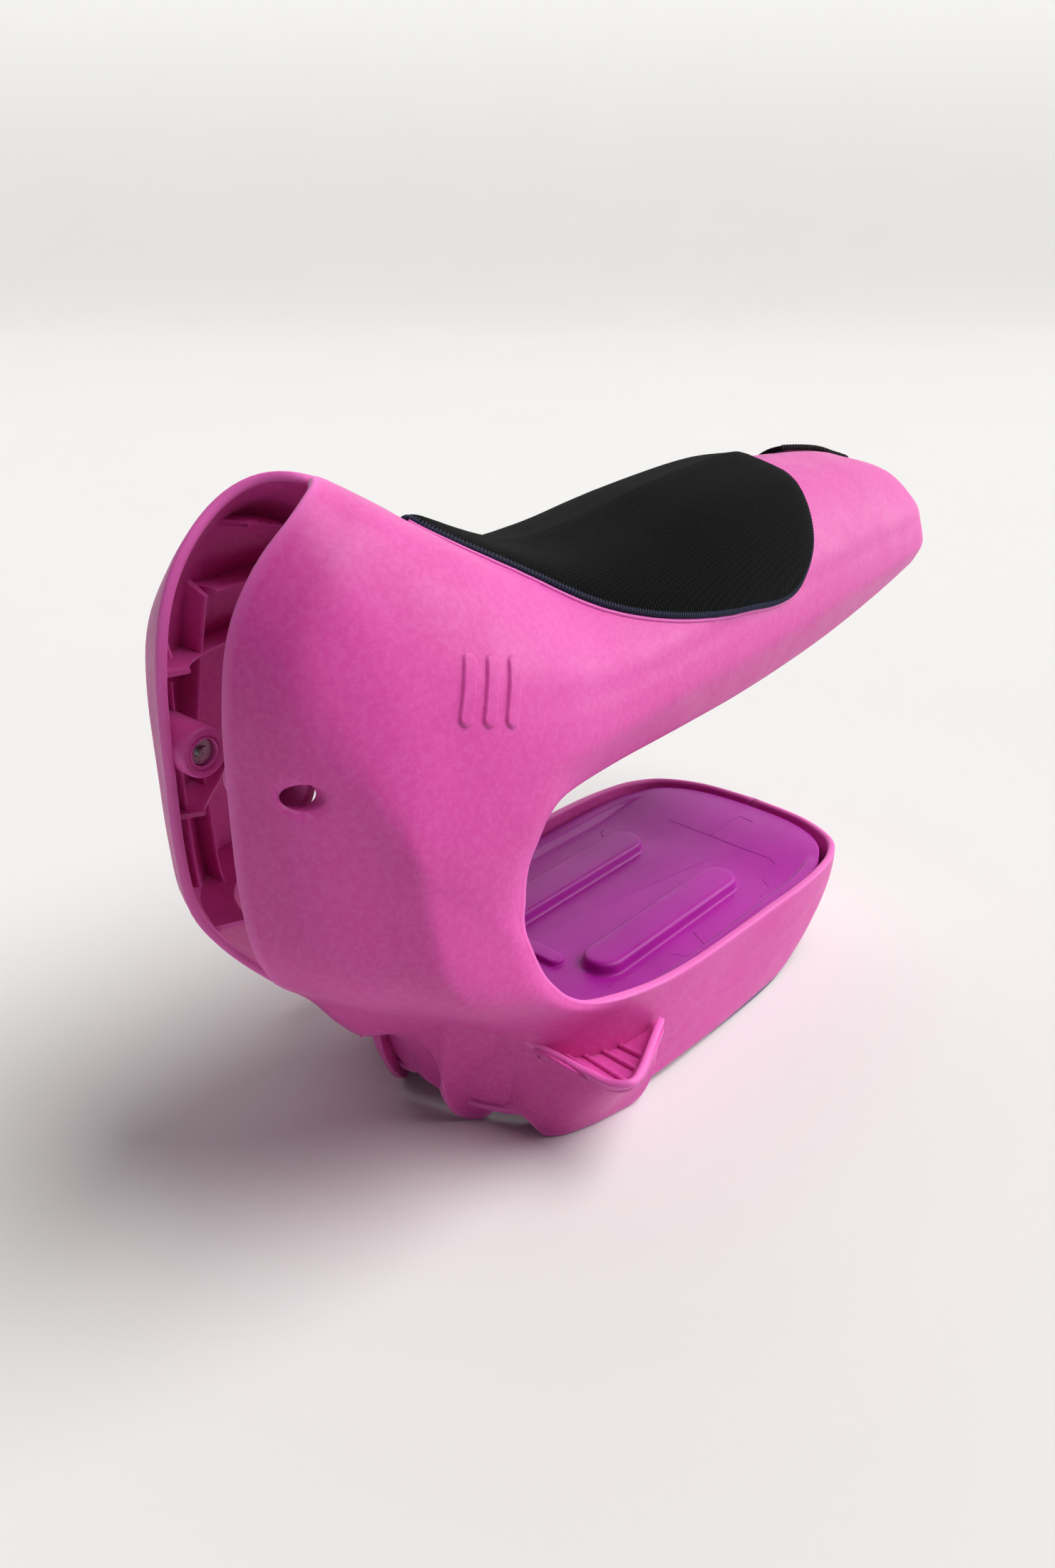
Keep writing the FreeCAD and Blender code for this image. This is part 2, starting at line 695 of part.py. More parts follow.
def seat_cover():
    """Knitted cover over the foam."""
    grid = pad_grid(PAD_INSET, 25, 13)
    low = PAD_GAP + FOAM + 0.1
    return plate(lifted(grid, low + COVER), lifted(grid, low))


def seat_hem():
    """Sewn edge around the pad, a round-edged band."""
    wires = []
    count = 44
    middle = (PAD_FRONT + PAD_REAR) / 2
    reach = (PAD_FRONT - PAD_REAR) / 2 - HEM / 2
    outline = []
    for k in range(count):
        angle = 2 * math.pi * k / count
        x = middle - reach * math.cos(angle)
        side = 1.0 if math.sin(angle) > 0 else -1.0
        half = max(pad_half_width(x) - HEM / 2, 0.0) if 0 < k < count and k != count // 2 else 0.0
        outline.append((x, side * half))
    for k in range(count):
        before = V(*outline[k - 1], 0)
        after = V(*outline[(k + 1) % count], 0)
        along = (after - before).normalize()
        out = along.cross(V(0, 0, 1))
        x, y = outline[k]
        corners = []
        for side, lift in ((-0.5, 0.6), (0.5, 0.6), (0.5, 4.2), (-0.5, 4.2)):
            px = x + out.x * side * HEM
            py = y + out.y * side * HEM
            corners.append(V(px, py, top_point(px, py) + lift))
        wires.append(Part.makePolygon(corners + corners[:1]))
    return Part.makeLoft(wires + wires[:1], True, True)


def pad_tapes():
    """Two adhesive strips between the foam and the saddle."""
    strips = []
    for side in (-1, 1):
        rows = []
        for i in range(9):
            x = -40 + 11.0 * i
            rows.append([(x, side * 14 + 3 * (j - 1.5), top_point(x, side * 14 + 3 * (j - 1.5))) for j in range(4)])
        strips.append(plate(lifted(rows, PAD_GAP - 0.25), lifted(rows, 0.45)))
    return strips


# ---- spine that joins the half shells under the pad ----------------------------------------------
SPINE_X = (-36.0, 50.0)
SPINE_SCREW_Y = 13.0


def spine_grid():
    """Points of the saddle over the spine."""
    grid = []
    for i in range(11):
        x = -52 + 12.0 * i
        grid.append([(x, 22.0 * (j / 4 - 1), top_point(x, 22.0 * (j / 4 - 1))) for j in range(9)])
    return grid


def spine_plate():
    """Curved plate under both half shells with its screw holes."""
    grid = spine_grid()
    spine = plate(lifted(grid, -WALL - 0.5), lifted(grid, -WALL - 3.5))
    return spine.cut([rod(1.3, (x, y, 180), (x, y, 260)) for x, y in spine_places()])


def spine_places():
    """Where the spine's four screws stand."""
    return [(x, y) for x in SPINE_X for y in (-SPINE_SCREW_Y, SPINE_SCREW_Y)]


def spine_screws():
    """Four flat head screws under the pad."""
    screws = []
    for x, y in spine_places():
        top = top_point(x, y) - 0.8
        screws.append(screw(3.0, 1.4, 1.3, (x, y, top), (x, y, top - 9.0)))
    return screws


def spine_holes():
    """Clearance for the spine's screws in the half shells."""
    holes = []
    for x, y in spine_places():
        top = top_point(x, y)
        holes.append(rod(3.3, (x, y, top - 2.2), (x, y, top + 6)))
        holes.append(rod(1.6, (x, y, top - 12), (x, y, top + 6)))
    return holes


# ---- strap ------------------------------------------------------------------------------------------
BAR_Y, BAR_Z, BAR_R = 20.0, 184.0, 3.0
STRAP_LOOP = 6.9           # radius of the strap's face away from the bar
STRAP_GAP = 0.9
FLAP_LIFT = 2.4            # underside of the strap's free end above the nose


def lip_height(x):
    """Height of the nose's lower lip beside the strap."""
    return 163.0 + 6.0 * (x - STRAP_X0) / STRAP_W


def strap_line(x):
    """Inner face of the strap at one x: over the nose, under its lip and round the bar."""
    half = 48.4 - 5.0 * (x - STRAP_X0) / STRAP_W
    low = lip_height(x) - 2.0
    on_top = (STRAP_HINGE_Y + 0.2, 35.2, 0.865 * half, 0.93 * half, 0.975 * half)
    points = [(y, top_point(x, y)) for y in on_top]
    points += [(half + 1.0, 181), (half - 0.5, 171), (half - 5.0, low)]
    points += [(half - 12.0, low - 1.5), (half - 17.0, low + 4.0), (BAR_Y + STRAP_LOOP, 176)]
    for angle in (0, 45, 90, 135, 180):
        a = math.radians(angle)
        points.append((BAR_Y + STRAP_LOOP * math.cos(a), BAR_Z + STRAP_LOOP * math.sin(a)))
    points.append((BAR_Y - STRAP_LOOP, BAR_Z - 8.0))
    return [(x, y, z) for y, z in points]


def strap_base():
    """Fixed part of the strap, from the fold line on the nose to the bar inside it."""
    rows = [smooth_line(strap_line(STRAP_X0 + STRAP_W * i / 5), 2) for i in range(6)]
    middle = rows[3][4]
    outward = 1.0 if grid_normals(rows)[3][4].y * middle[1] > 0 else -1.0
    near = offset_grid(rows, outward * STRAP_GAP)
    far = offset_grid(rows, outward * (STRAP_GAP + STRAP_T))
    return plate(far, near)


def strap_grid(first_y, last_y):
    """Grid of the strap on top of the nose between two values of y."""
    rows = []
    for i in range(6):
        x = STRAP_X0 + STRAP_W * i / 5
        rows.append([(x, first_y + (last_y - first_y) * j / 5, 0) for j in range(6)])
    return [[(x, y, top_point(x, y)) for x, y, z in row] for row in rows]


def strap_end():
    """Free end of the strap, which peels open."""
    grid = strap_grid(STRAP_END_Y, STRAP_HINGE_Y - 0.4)
    return plate(lifted(grid, FLAP_LIFT + STRAP_T), lifted(grid, FLAP_LIFT))


def hook_patch():
    """Hook tape sewn under the free end."""
    grid = [row[1:5] for row in strap_grid(STRAP_END_Y, STRAP_HINGE_Y - 0.4)[1:5]]
    return plate(lifted(grid, FLAP_LIFT - 0.35), lifted(grid, 1.35))


def loop_patch():
    """Loop tape glued to the nose under the hook tape."""
    grid = [row[1:5] for row in strap_grid(STRAP_END_Y, STRAP_HINGE_Y - 0.4)[1:5]]
    return plate(lifted(grid, 1.0), lifted(grid, 0.3))


def anchor_bar():
    """Steel bar inside the nose that the strap is sewn round."""
    return rod(BAR_R, (STRAP_X0 - 7, BAR_Y, BAR_Z), (STRAP_X0 + STRAP_W + 6, BAR_Y, BAR_Z))


def bar_clips(left_half):
    """Two blocks under the nose's skin that hold the bar by its ends."""
    clips = []
    for x in (STRAP_X0 - 5, STRAP_X0 + STRAP_W + 4):
        block = box(x - 2, x + 2, BAR_Y - 7, BAR_Y + 7, BAR_Z - 6, 240)
        block = block.cut(left_half)
        below = min(block.Solids, key=lambda solid: solid.CenterOfMass.z)
        clips.append(below.cut(rod(BAR_R + 0.05, (x - 5, BAR_Y, BAR_Z), (x + 5, BAR_Y, BAR_Z))))
    return clips


# ---- write the nodes -----------------------------------------------------------------------------
def main():
    """Build every piece and write it."""
    left_half = half_shell()
    pair = {"sleeve_screws": sleeve_screw(), "sleeve_nuts": sleeve_nut()}
    single = {
        "left_shell": left_half,
        "right_shell": mirrored(left_half),
        "outsole": outsole(),
        "base_plate": base_plate(),
        "foot_tray": foot_tray(),
        "seat_foam": seat_foam(),
        "seat_cover": seat_cover(),
        "seat_hem": seat_hem(),
        "spine_plate": spine_plate(),
        "strap_base": strap_base(),
        "strap_end": strap_end(),
        "strap_hook_patch": hook_patch(),
        "strap_loop_patch": loop_patch(),
        "strap_anchor_bar": anchor_bar(),
    }
    groups = {
        "tray_screws": tray_screws(),
        "spine_screws": spine_screws(),
        "seat_tapes": pad_tapes(),
        "strap_bar_clips": bar_clips(left_half),
    }
    for name, shape in single.items():
        save(name, shape)
    for name, shape in pair.items():
        save(name, Part.makeCompound([shape, mirrored(shape)]))
    for name, solids in groups.items():
        save(name, Part.makeCompound(solids))
    return single, pair, groups


if __name__ == "__main__":
    main()
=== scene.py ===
"""Looks of the ride-on foot saddle, in metres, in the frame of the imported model.

Origin on the floor under the middle of the sole, +X towards the open mouth and the saddle
nose, +Y the left side, +Z up. Tables are in millimetres and are scaled once.
"""

import json
import math

import bmesh
import bpy
import numpy as np
from mathutils import Matrix, Vector
from mathutils.bvhtree import BVHTree

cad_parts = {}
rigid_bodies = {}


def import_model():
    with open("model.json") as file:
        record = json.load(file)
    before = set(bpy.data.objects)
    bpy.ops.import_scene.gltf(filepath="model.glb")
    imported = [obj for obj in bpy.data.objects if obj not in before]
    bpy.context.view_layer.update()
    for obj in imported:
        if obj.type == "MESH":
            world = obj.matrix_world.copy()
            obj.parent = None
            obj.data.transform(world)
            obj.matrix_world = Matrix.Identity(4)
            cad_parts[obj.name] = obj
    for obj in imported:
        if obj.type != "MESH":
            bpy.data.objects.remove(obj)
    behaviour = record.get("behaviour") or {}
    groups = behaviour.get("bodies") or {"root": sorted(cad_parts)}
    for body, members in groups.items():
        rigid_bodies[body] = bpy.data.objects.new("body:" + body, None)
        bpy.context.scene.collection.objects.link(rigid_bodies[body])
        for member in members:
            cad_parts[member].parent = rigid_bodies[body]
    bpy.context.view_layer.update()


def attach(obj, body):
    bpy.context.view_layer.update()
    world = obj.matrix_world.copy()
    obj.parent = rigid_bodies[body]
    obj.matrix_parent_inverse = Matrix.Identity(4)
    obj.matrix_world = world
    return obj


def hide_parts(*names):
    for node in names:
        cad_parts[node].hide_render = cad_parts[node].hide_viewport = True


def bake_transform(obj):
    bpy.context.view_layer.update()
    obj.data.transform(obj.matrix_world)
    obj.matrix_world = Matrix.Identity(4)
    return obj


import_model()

MM = 0.001
WALL = 3.5 * MM
SEAM = 0.15 * MM                # half of the gap between the two half shells
NOSE_X, NOSE_R = 209.0, 45.0     # centre and radius of the round nose, in millimetres
SIDES = (("left", 1.0), ("right", -1.0))
TINY = 1e-12


# ---- sections of the left half shell, in millimetres ----
# from the middle plane to the side crease, as shares of the half width and of the height
TOP_STEPS = ((0.0, 1.0), (0.5, 0.866), (0.850, 0.500), (0.942, 0.250), (1.0, 0.0))

# x and height of the crown; x, half width and height of the side crease; half width and height
# that the edges below it are measured from
SADDLE = (
    (160, 233, 170, 48.5, 179.5, 44.5, 165),
    (122, 236, 125, 53, 178.5, 48, 161),
    (80, 236, 80, 56, 178, 51, 159),
    (35, 233, 35, 58.5, 177, 54, 158),
    (-10, 227, -10, 60.5, 176, 56, 158.5),
    (-50, 225, -50, 62.5, 176, 58, 160),
    (-88, 239, -82, 65, 174.5, 61, 160),
)

# from the outer boundary over the two soft creases of the side to the mouth edge
BACK = (
    ((-118, 0, 257), (-115, 31, 245), (-110, 52, 214), (-107, 60, 195), (-104, 65, 177),
     (-101, 66, 164), (-99, 61, 155)),
    ((-143, 0, 269), (-140, 28, 257), (-134, 49, 222), (-129, 58, 199), (-122, 64, 175),
     (-113, 66, 158), (-107, 62, 149)),
    ((-150, 15, 268), (-151, 33, 252), (-146, 50, 216), (-140, 58, 192), (-131, 64, 169),
     (-119, 66, 152), (-111, 62, 144)),
    ((-165, 18, 263), (-164, 35, 245), (-157, 51, 210), (-150, 58, 186), (-139, 64, 162),
     (-124, 66, 146), (-114, 63, 139)),
    ((-180, 18, 250), (-177, 35, 232), (-166, 51, 199), (-157, 58, 177), (-144, 64, 155),
     (-127, 66, 140), (-115, 63, 134)),
    ((-190, 17, 234), (-184, 35, 219), (-171, 51, 190), (-160, 58, 171), (-145, 64, 150),
     (-127, 66, 135), (-116, 64, 129)),
    ((-195, 17, 211), (-187, 35, 200), (-171, 52, 178), (-160, 59, 162), (-145, 64, 144),
     (-128, 66, 130), (-117, 64, 124)),
    ((-196, 17, 180), (-187, 35, 174), (-169, 52, 162), (-158, 59, 152), (-143, 64, 138),
     (-127, 67, 124), (-117, 65, 118)),
    ((-196, 17, 151), (-186, 36, 148), (-167, 53, 141), (-156, 60, 134), (-141, 65, 125),
     (-125, 67, 116), (-115, 66, 112)),
    ((-195, 17, 129), (-185, 37, 126), (-165, 54, 121), (-153, 61, 117), (-138, 66, 111),
     (-122, 68, 107), (-113, 67, 105)),
    ((-184, 14, 111), (-175, 34, 109), (-156, 54, 106), (-145, 62, 103), (-131, 67, 100),
     (-117, 69, 98), (-109, 67, 97)),
    ((-177, 2, 99), (-164, 28, 97), (-146, 51, 95), (-137, 60, 93), (-125, 66, 91),
     (-112, 69, 90), (-104, 68, 90)),
    ((-160, 0, 84), (-149, 24, 84), (-134, 46, 83), (-126, 56, 82), (-116, 64, 82),
     (-104, 69, 82), (-97, 68, 82)),
    ((-150, 0, 68), (-137, 19, 71), (-123, 39, 72), (-115, 50, 72), (-106, 61, 73),
     (-95, 68, 74), (-87, 68, 74)),
    ((-141, 0, 53), (-127, 15, 60), (-115, 34, 62), (-107, 45, 62), (-97, 56, 63),
     (-83, 67, 66), (-73, 69, 67)),
    ((-120, 0, 47), (-115, 18, 49), (-103, 38, 51), (-95, 48, 52), (-84, 57, 54),
     (-66, 66, 58), (-55, 69, 61)),
    ((-113, 0, 32), (-108, 21, 32), (-95, 43, 34), (-85, 53, 36), (-70, 62, 41),
     (-50, 67, 50), (-35, 69, 56)),
    ((-110, 0, 16), (-104, 26, 15), (-84, 51, 16), (-68, 60, 20), (-48, 65, 29),
     (-28, 68, 42), (-10, 69, 53)),
    ((-103, 26, 13), (-80, 52, 11), (-50, 62, 15), (-34, 65, 21), (-18, 67, 29),
     (-3, 68, 41), (12, 69, 52)),
    ((-80, 53, 9), (-52, 61, 10), (-25, 65, 15), (-11, 66, 21), (4, 67, 30),
     (18, 68, 41), (32, 69, 51)),
    ((-45, 62, 4), (-23, 64, 8), (0, 66, 16), (13, 67, 23), (27, 68, 31),
     (41, 69, 41), (54, 69, 51)),
    ((0, 64, 3), (18, 66, 9), (37, 67, 19), (47, 68, 26), (57, 68, 33),
     (68, 69, 42), (78, 69, 50)),
    ((45, 66, 3), (55, 67, 10), (68, 68, 21), (75, 68, 27), (83, 69, 34),
     (92, 68, 42), (100, 68, 49)),
)

# bottom edge and rim of the sloping front wall
PROW = (
    ((82, 63, 3), (120, 63, 48)),
    ((104, 54, 9), (136, 53, 47)),
    ((122, 34, 13), (146, 31, 47)),
    ((130, 0, 16), (149, 0, 47)),
)
PROW_STEPS = (0.0, 0.25, 0.5, 0.65, 0.78, 0.9, 1.0)
PROW_STRAIGHT = 0.65           # share of the rise that is even, the rest follows the curve

# round nose: turn from +X and (x, height) of the crown there; inset and height of its edges
NOSE_TOPS = ((0, (224, 216)), (30, (215, 219)), (60, (204, 223)), (90, (190, 228)))
NOSE_EDGES = ((0, 181.0), (5, 170.0), (11, 168.0))

# inset and drop of the chamfered band's lower edge, and of the lip under it
BAND_EDGE = (3, 2)
LIP_EDGE = (9, 4)

# lower edge and upper edge of the flared skirt, from the rear arch to the front of the step
SKIRT = (
    ((-120, 0, 47), (-139, 0, 54)),
    ((-119, 9, 46), (-131, 9, 60)),
    ((-117, 17, 40), (-124, 19, 66)),
    ((-116, 20, 28), (-120, 29, 70)),
    ((-109, 18, 8), (-115, 35, 69)),
    ((-99, 23, 0), (-110, 40, 65)),
    ((-96, 33, 10), (-103, 44, 59)),
    ((-94, 43, 10), (-95, 50, 49)),
    ((-89, 50, 1), (-91, 61, 45)),
    ((-84, 55, 0), (-91, 74, 45)),
    ((-78, 58, 0), (-90, 84, 45)),
    ((-70, 61, 0), (-84, 90, 45)),
    ((-62, 63, 0), (-74, 88, 45)),
    ((-53, 65, 0), (-60, 82, 44)),
    ((-45, 67, 3), (-47, 76, 42)),
    ((-40, 69, 12), (-37, 71, 39)),
)
SKIRT_STEPS = (0.0, 0.2, 0.4, 0.6, 0.8, 1.0)
SKIRT_WALL = 3.2 * MM


def saddle_section(top, crease, low, lip):
    """The crowned top from the seam to the side crease, then the lower face."""
    points = []
    for s, c in TOP_STEPS:
        x = top[0] + (crease[0] - top[0]) * s
        points.append((x, crease[1] * s, crease[2] + (top[1] - crease[2]) * c))
    return points + [low, lip]


def nose_section(angle, top):
    """A section of the round nose, turned by angle from the +X direction."""
    c = math.cos(math.radians(angle))
    s = math.sin(math.radians(angle))
    rings = [(NOSE_R - inset, z) for inset, z in NOSE_EDGES]
    return saddle_section(top, *[(NOSE_X + r * c, r * s, z) for r, z in rings])


def prow_section(bottom, rim):
    """The front wall leans out from the bottom edge and turns upright at the rim."""
    points = []
    for f in PROW_STEPS:
        out = math.sin(f * math.pi / 2)
        rise = PROW_STRAIGHT * f + (1 - PROW_STRAIGHT) * (1 - math.cos(f * math.pi / 2))
        gains = (out, out, rise)
        points.append(tuple(b + (r - b) * g for b, r, g in zip(bottom, rim, gains)))
    return points


def shell_sections():
    """All sections of the half shell, from the nose seam to the front seam of the base."""
    sections = [nose_section(angle, top) for angle, top in NOSE_TOPS]
    for x, z, crease_x, half, crease_z, low_half, low_z in SADDLE:
        band, lip = (
            (crease_x, low_half - inset, low_z - drop) for inset, drop in (BAND_EDGE, LIP_EDGE)
        )
        sections.append(saddle_section((x, z), (crease_x, half, crease_z), band, lip))
    sections += [list(row) for row in BACK]
    sections += [prow_section(bottom, rim) for bottom, rim in PROW]
    sections = np.array(sections, float)
    for column, away, table in RIDGES:
        sections[:, column] += from_table(table, len(sections))[:, None] * np.array(away)
    return sections * MM


def from_table(table, count):
    """Values at all the sections from a table that gives them at a few."""
    return np.interp(np.arange(count), [p for p, _ in table], [w for _, w in table])


# columns with a crease, and how sharp it is at a few of the sections
CREASES = (
    ((1,), ((0, 0), (12, 0), (13, 1), (15, 1), (18, 0))),
    ((3,), ((0, 0), (12, 0), (15, 0.9), (24, 1), (27, 0.3), (30, 0))),
    ((4, 5), ((0, 1), (10, 1), (12, 0.6), (14, 0))),
)
CREASE_ROUNDS = 2
# creases that stand out a little: column, direction, and millimetres at a few of the sections
RIDGES = (
    (1, (-0.50, 0.80, 0.30), ((11, 0), (13, 2.2), (15, 2.2), (17, 0.8), (19, 0))),
    (3, (-0.45, 0.87, 0.10), ((13, 0), (15, 1.4), (17, 2.0), (22, 2.2), (25, 1.4), (28, 0))),
)


# ---- grids ----
def refine(points, steps):
    """Catmull-Rom refinement along the first axis."""
    first = 2 * points[:1] - points[1:2]
    last = 2 * points[-1:] - points[-2:-1]
    line = np.concatenate([first, points, last])
    p0, p1, p2, p3 = line[:-3], line[1:-2], line[2:-1], line[3:]
    parts = []
    for k in range(steps):
        t = k / steps
        cubic = (3 * p1 - p0 - 3 * p2 + p3) * t ** 3
        square = (2 * p0 - 5 * p1 + 4 * p2 - p3) * t ** 2
        parts.append(0.5 * (2 * p1 + (p2 - p0) * t + square + cubic))
    fine = np.stack(parts, 1).reshape(-1, *points.shape[1:])
    return np.concatenate([fine, points[-1:]])


def across(array):
    """Swap rows and columns of a grid."""
    return np.swapaxes(array, 0, 1)


def soften(points, rounds, closed=False):
    """Even out a line of points by averaging each with its neighbours."""
    points = np.array(points)
    for _ in range(rounds):
        if closed:
            points = (np.roll(points, 1, 0) + 2 * points + np.roll(points, -1, 0)) / 4
        else:
            points[1:-1] = (points[:-2] + 2 * points[1:-1] + points[2:]) / 4
    return points


def unit(vectors):
    """The same directions with length 1."""
    length = np.linalg.norm(vectors, axis=-1, keepdims=True)
    return vectors / np.maximum(length, TINY)


def creased(points, steps):
    """Refine across the columns, with a soft crease at some of them where its weight asks."""
    smooth = refine(points, steps)
    at = np.arange(len(smooth)) / steps
    result = smooth.copy()
    for columns, table in CREASES:
        weights = from_table(table, points.shape[1])
        stops = [0] + list(columns) + [len(points) - 1]
        parts = [refine(points[a:b + 1], steps)[:-1] for a, b in zip(stops[:-1], stops[1:])]
        sharp = soften(np.concatenate(parts + [points[-1:]]), CREASE_ROUNDS)
        share = np.zeros((len(smooth), points.shape[1]))
        for column in columns:
            near = np.minimum(2 * np.clip(1 - np.abs(at - column), 0, 1), 1)
            share = np.maximum(share, near[:, None] * weights[None])
        result += (sharp - smooth) * share[..., None]
    return result


def refine_grid(grid, along, sideways):
    """Refine a grid of points in both directions."""
    return refine(across(refine(across(grid), sideways)), along)


def fair(grid, first, last):
    """Even out small ripples between the sections first to last without shrinking."""
    grid = grid.copy()
    for _ in range(FAIR_ROUNDS):
        for weight in FAIR_WEIGHTS:
            middle = grid[first:last]
            before = grid[first - 1:last - 1]
            after = grid[first + 1:last + 1]
            grid[first:last] = middle + weight * ((before + after) / 2 - middle)
    return grid


def grid_normals(grid):
    """Unit normals of a grid, by differences."""
    return unit(np.cross(np.gradient(grid, axis=0), np.gradient(grid, axis=1)))


def ring_faces(rows, count, joined=False):
    """Quads between rows of points that each close on themselves."""
    faces = []
    for i in range(rows if joined else rows - 1):
        n = (i + 1) % rows
        for j in range(count):
            k = (j + 1) % count
            faces.append((i * count + j, i * count + k, n * count + k, n * count + j))
    return faces


def end_faces(rows, count):
    """The first and the last row as flat ends."""
    last = (rows - 1) * count
    return [list(range(count)), list(range(last, last + count))]


def mesh_object(name, points, faces, smooth=True):
    """New object from points and faces."""
    mesh = bpy.data.meshes.new(name)
    mesh.from_pydata([tuple(p) for p in points], [], faces)
    mesh.validate()
    mesh.polygons.foreach_set("use_smooth", [smooth] * len(mesh.polygons))
    obj = bpy.data.objects.new(name, mesh)
    bpy.context.scene.collection.objects.link(obj)
    return obj


def face_outward(obj):
    """Turn all faces of a closed mesh outward."""
    bm = bmesh.new()
    bm.from_mesh(obj.data)
    bmesh.ops.recalc_face_normals(bm, faces=bm.faces)
    bm.to_mesh(obj.data)
    bm.free()
    return obj


def float_attribute(obj, name, values):
    """Store one number per point for the materials, the same one for all if it is single."""
    attribute = obj.data.attributes.get(name) or obj.data.attributes.new(name, "FLOAT", "POINT")
    values = np.broadcast_to(np.asarray(values, np.float32), (len(obj.data.vertices),))
    attribute.data.foreach_set("value", np.ascontiguousarray(values))


def join(objects, name):
    """Join several objects into one."""
    bpy.ops.object.select_all(action="DESELECT")
    for obj in objects:
        obj.select_set(True)
    bpy.context.view_layer.objects.active = objects[0]
    bpy.ops.object.join()
    joined = bpy.context.view_layer.objects.active
    joined.name = name
    joined.data.name = name
    return joined


RIM_TURNS = (18, 42, 66, 90, 114, 138, 162)
RIM_FROM = 0.2                 # an edge that bulges more than this is a rim


def rim_arc(outer, inner, before, bulge):
    """Points round the rim, from the outer edge line to the inner one."""
    half = (outer - inner) / 2
    middle = (outer + inner) / 2
    reach = np.linalg.norm(half, axis=1, keepdims=True)
    through = unit(half)
    out = outer - before
    out = unit(out - through * np.sum(out * through, axis=1, keepdims=True))
    arcs = []
    for turn in RIM_TURNS:
        a = math.radians(turn)
        arcs.append(middle + half * math.cos(a) + out * reach * bulge * math.sin(a))
    return np.stack(arcs, 1)


def rounded_plate(name, outer, inner, start_bulge, end_bulge):
    """Closed plate between two grids, with rounded rims at both column ends."""
    rows, columns = outer.shape[:2]
    start_bulge = np.broadcast_to(np.asarray(start_bulge, float).reshape(-1, 1), (rows, 1))
    end = rim_arc(outer[:, -1], inner[:, -1], outer[:, -2], end_bulge)
    start = rim_arc(outer[:, 0], inner[:, 0], outer[:, 1], start_bulge)[:, ::-1]
    rings = np.concatenate([outer, end, inner[:, ::-1], start], axis=1)
    count = rings.shape[1]
    turns = len(RIM_TURNS)
    faces = ring_faces(rows, count)
    last = 2 * columns + turns - 1                  # last point of the inner face in a ring
    cap = [[j, j + 1, last - j - 1, last - j] for j in range(columns - 1)]
    cap.append(list(range(columns - 1, columns + turns + 1)))
    cap.append([last, *range(last + 1, count), 0])
    for base in (0, (rows - 1) * count):
        faces += [[base + j for j in face] for face in cap]
    obj = mesh_object(name, rings.reshape(-1, 3), faces)
    # mask of the rounded rims, where the shell's material paints a paler highlight
    rim = np.zeros((rows, count))
    rim[:, columns - 1:columns + turns + 1] = 1.0
    rim[:, -turns:] = start_bulge > RIM_FROM
    rim[:, 0] = start_bulge[:, 0] > RIM_FROM
    float_attribute(obj, "rim", rim.ravel())
    return face_outward(obj)


def tube(points, radius, sides, closed=False, up=(0.0, 0.0, 1.0)):
    """Points and faces of a tube along a line. A list of radii makes it taper."""
    line = np.asarray(points, float)
    radii = np.broadcast_to(np.asarray(radius, float), (len(line),))
    if closed:
        tangent = np.roll(line, -1, 0) - np.roll(line, 1, 0)
    else:
        tangent = np.gradient(line, axis=0)
    tangent = unit(tangent)
    side = unit(np.cross(tangent, np.broadcast_to(np.asarray(up, float), line.shape)))
    top = np.cross(side, tangent)
    rings = []
    for k in range(sides):
        a = 2 * math.pi * k / sides
        rings.append(line + (side * math.cos(a) + top * math.sin(a)) * radii[:, None])
    verts = np.stack(rings, 1).reshape(-1, 3)
    faces = ring_faces(len(line), sides, closed)
    if not closed:
        faces += end_faces(len(line), sides)
    return verts, faces


def tube_object(name, *shape, **options):
    """One tube as an object of its own."""
    return face_outward(mesh_object(name, *tube(*shape, **options)))


class Heap:
    """Collects many small solids into one mesh."""

    def __init__(self):
        self.points = []
        self.faces = []

    def add(self, verts, faces):
        """Add one more solid."""
        start = len(self.points)
        self.points.extend([tuple(v) for v in verts])
        self.faces.extend([[start + k for k in face] for face in faces])

    def build(self, name):
        """One object from all of them."""
        return face_outward(mesh_object(name, self.points, self.faces))


def flip(points, sign):
    """The same points on the side given by sign."""
    return np.asarray(points, float) * np.array((1.0, sign, 1.0))


# ---- the skin of the half shells ----
ALONG = 5
SIDEWAYS = 6
FAIR_ROUNDS = 3
FAIR_WEIGHTS = (0.33, -0.34)
FAIR_MARGIN = 4                # sections at each end that keep their places
SECTIONS = shell_sections()
SECTIONS = fair(SECTIONS, FAIR_MARGIN, len(SECTIONS) - FAIR_MARGIN)
OUTER = creased(across(SECTIONS), SIDEWAYS)
OUTER = refine(across(OUTER), ALONG)
SEAM_ROWS = OUTER[:, 0, 1] < 1 * MM
LAST = len(OUTER) - 1


def on_seam(grid, seam_y):
    """Keep the seam edges of the half shell beside the middle plane."""
    grid = grid.copy()
    grid[..., 1] = np.maximum(grid[..., 1], seam_y)
    grid[0, :, 1] = seam_y
    grid[LAST, :, 1] = seam_y
    grid[SEAM_ROWS, 0, 1] = seam_y
    return grid


SKIN = on_seam(OUTER, 0.0)
OUTER = on_seam(OUTER, SEAM)
NORMALS = grid_normals(SKIN)
MIDDLE = (len(OUTER) // 2, OUTER.shape[1] // 2)
INWARD = -1.0 if NORMALS[MIDDLE][1] > 0 else 1.0
INNER = on_seam(OUTER + NORMALS * INWARD * WALL, SEAM)


def grid_faces(rows, columns):
    """Quads of a plain grid."""
    return [
        (i * columns + j, i * columns + j + 1, (i + 1) * columns + j + 1, (i + 1) * columns + j)
        for i in range(rows - 1) for j in range(columns - 1)
    ]


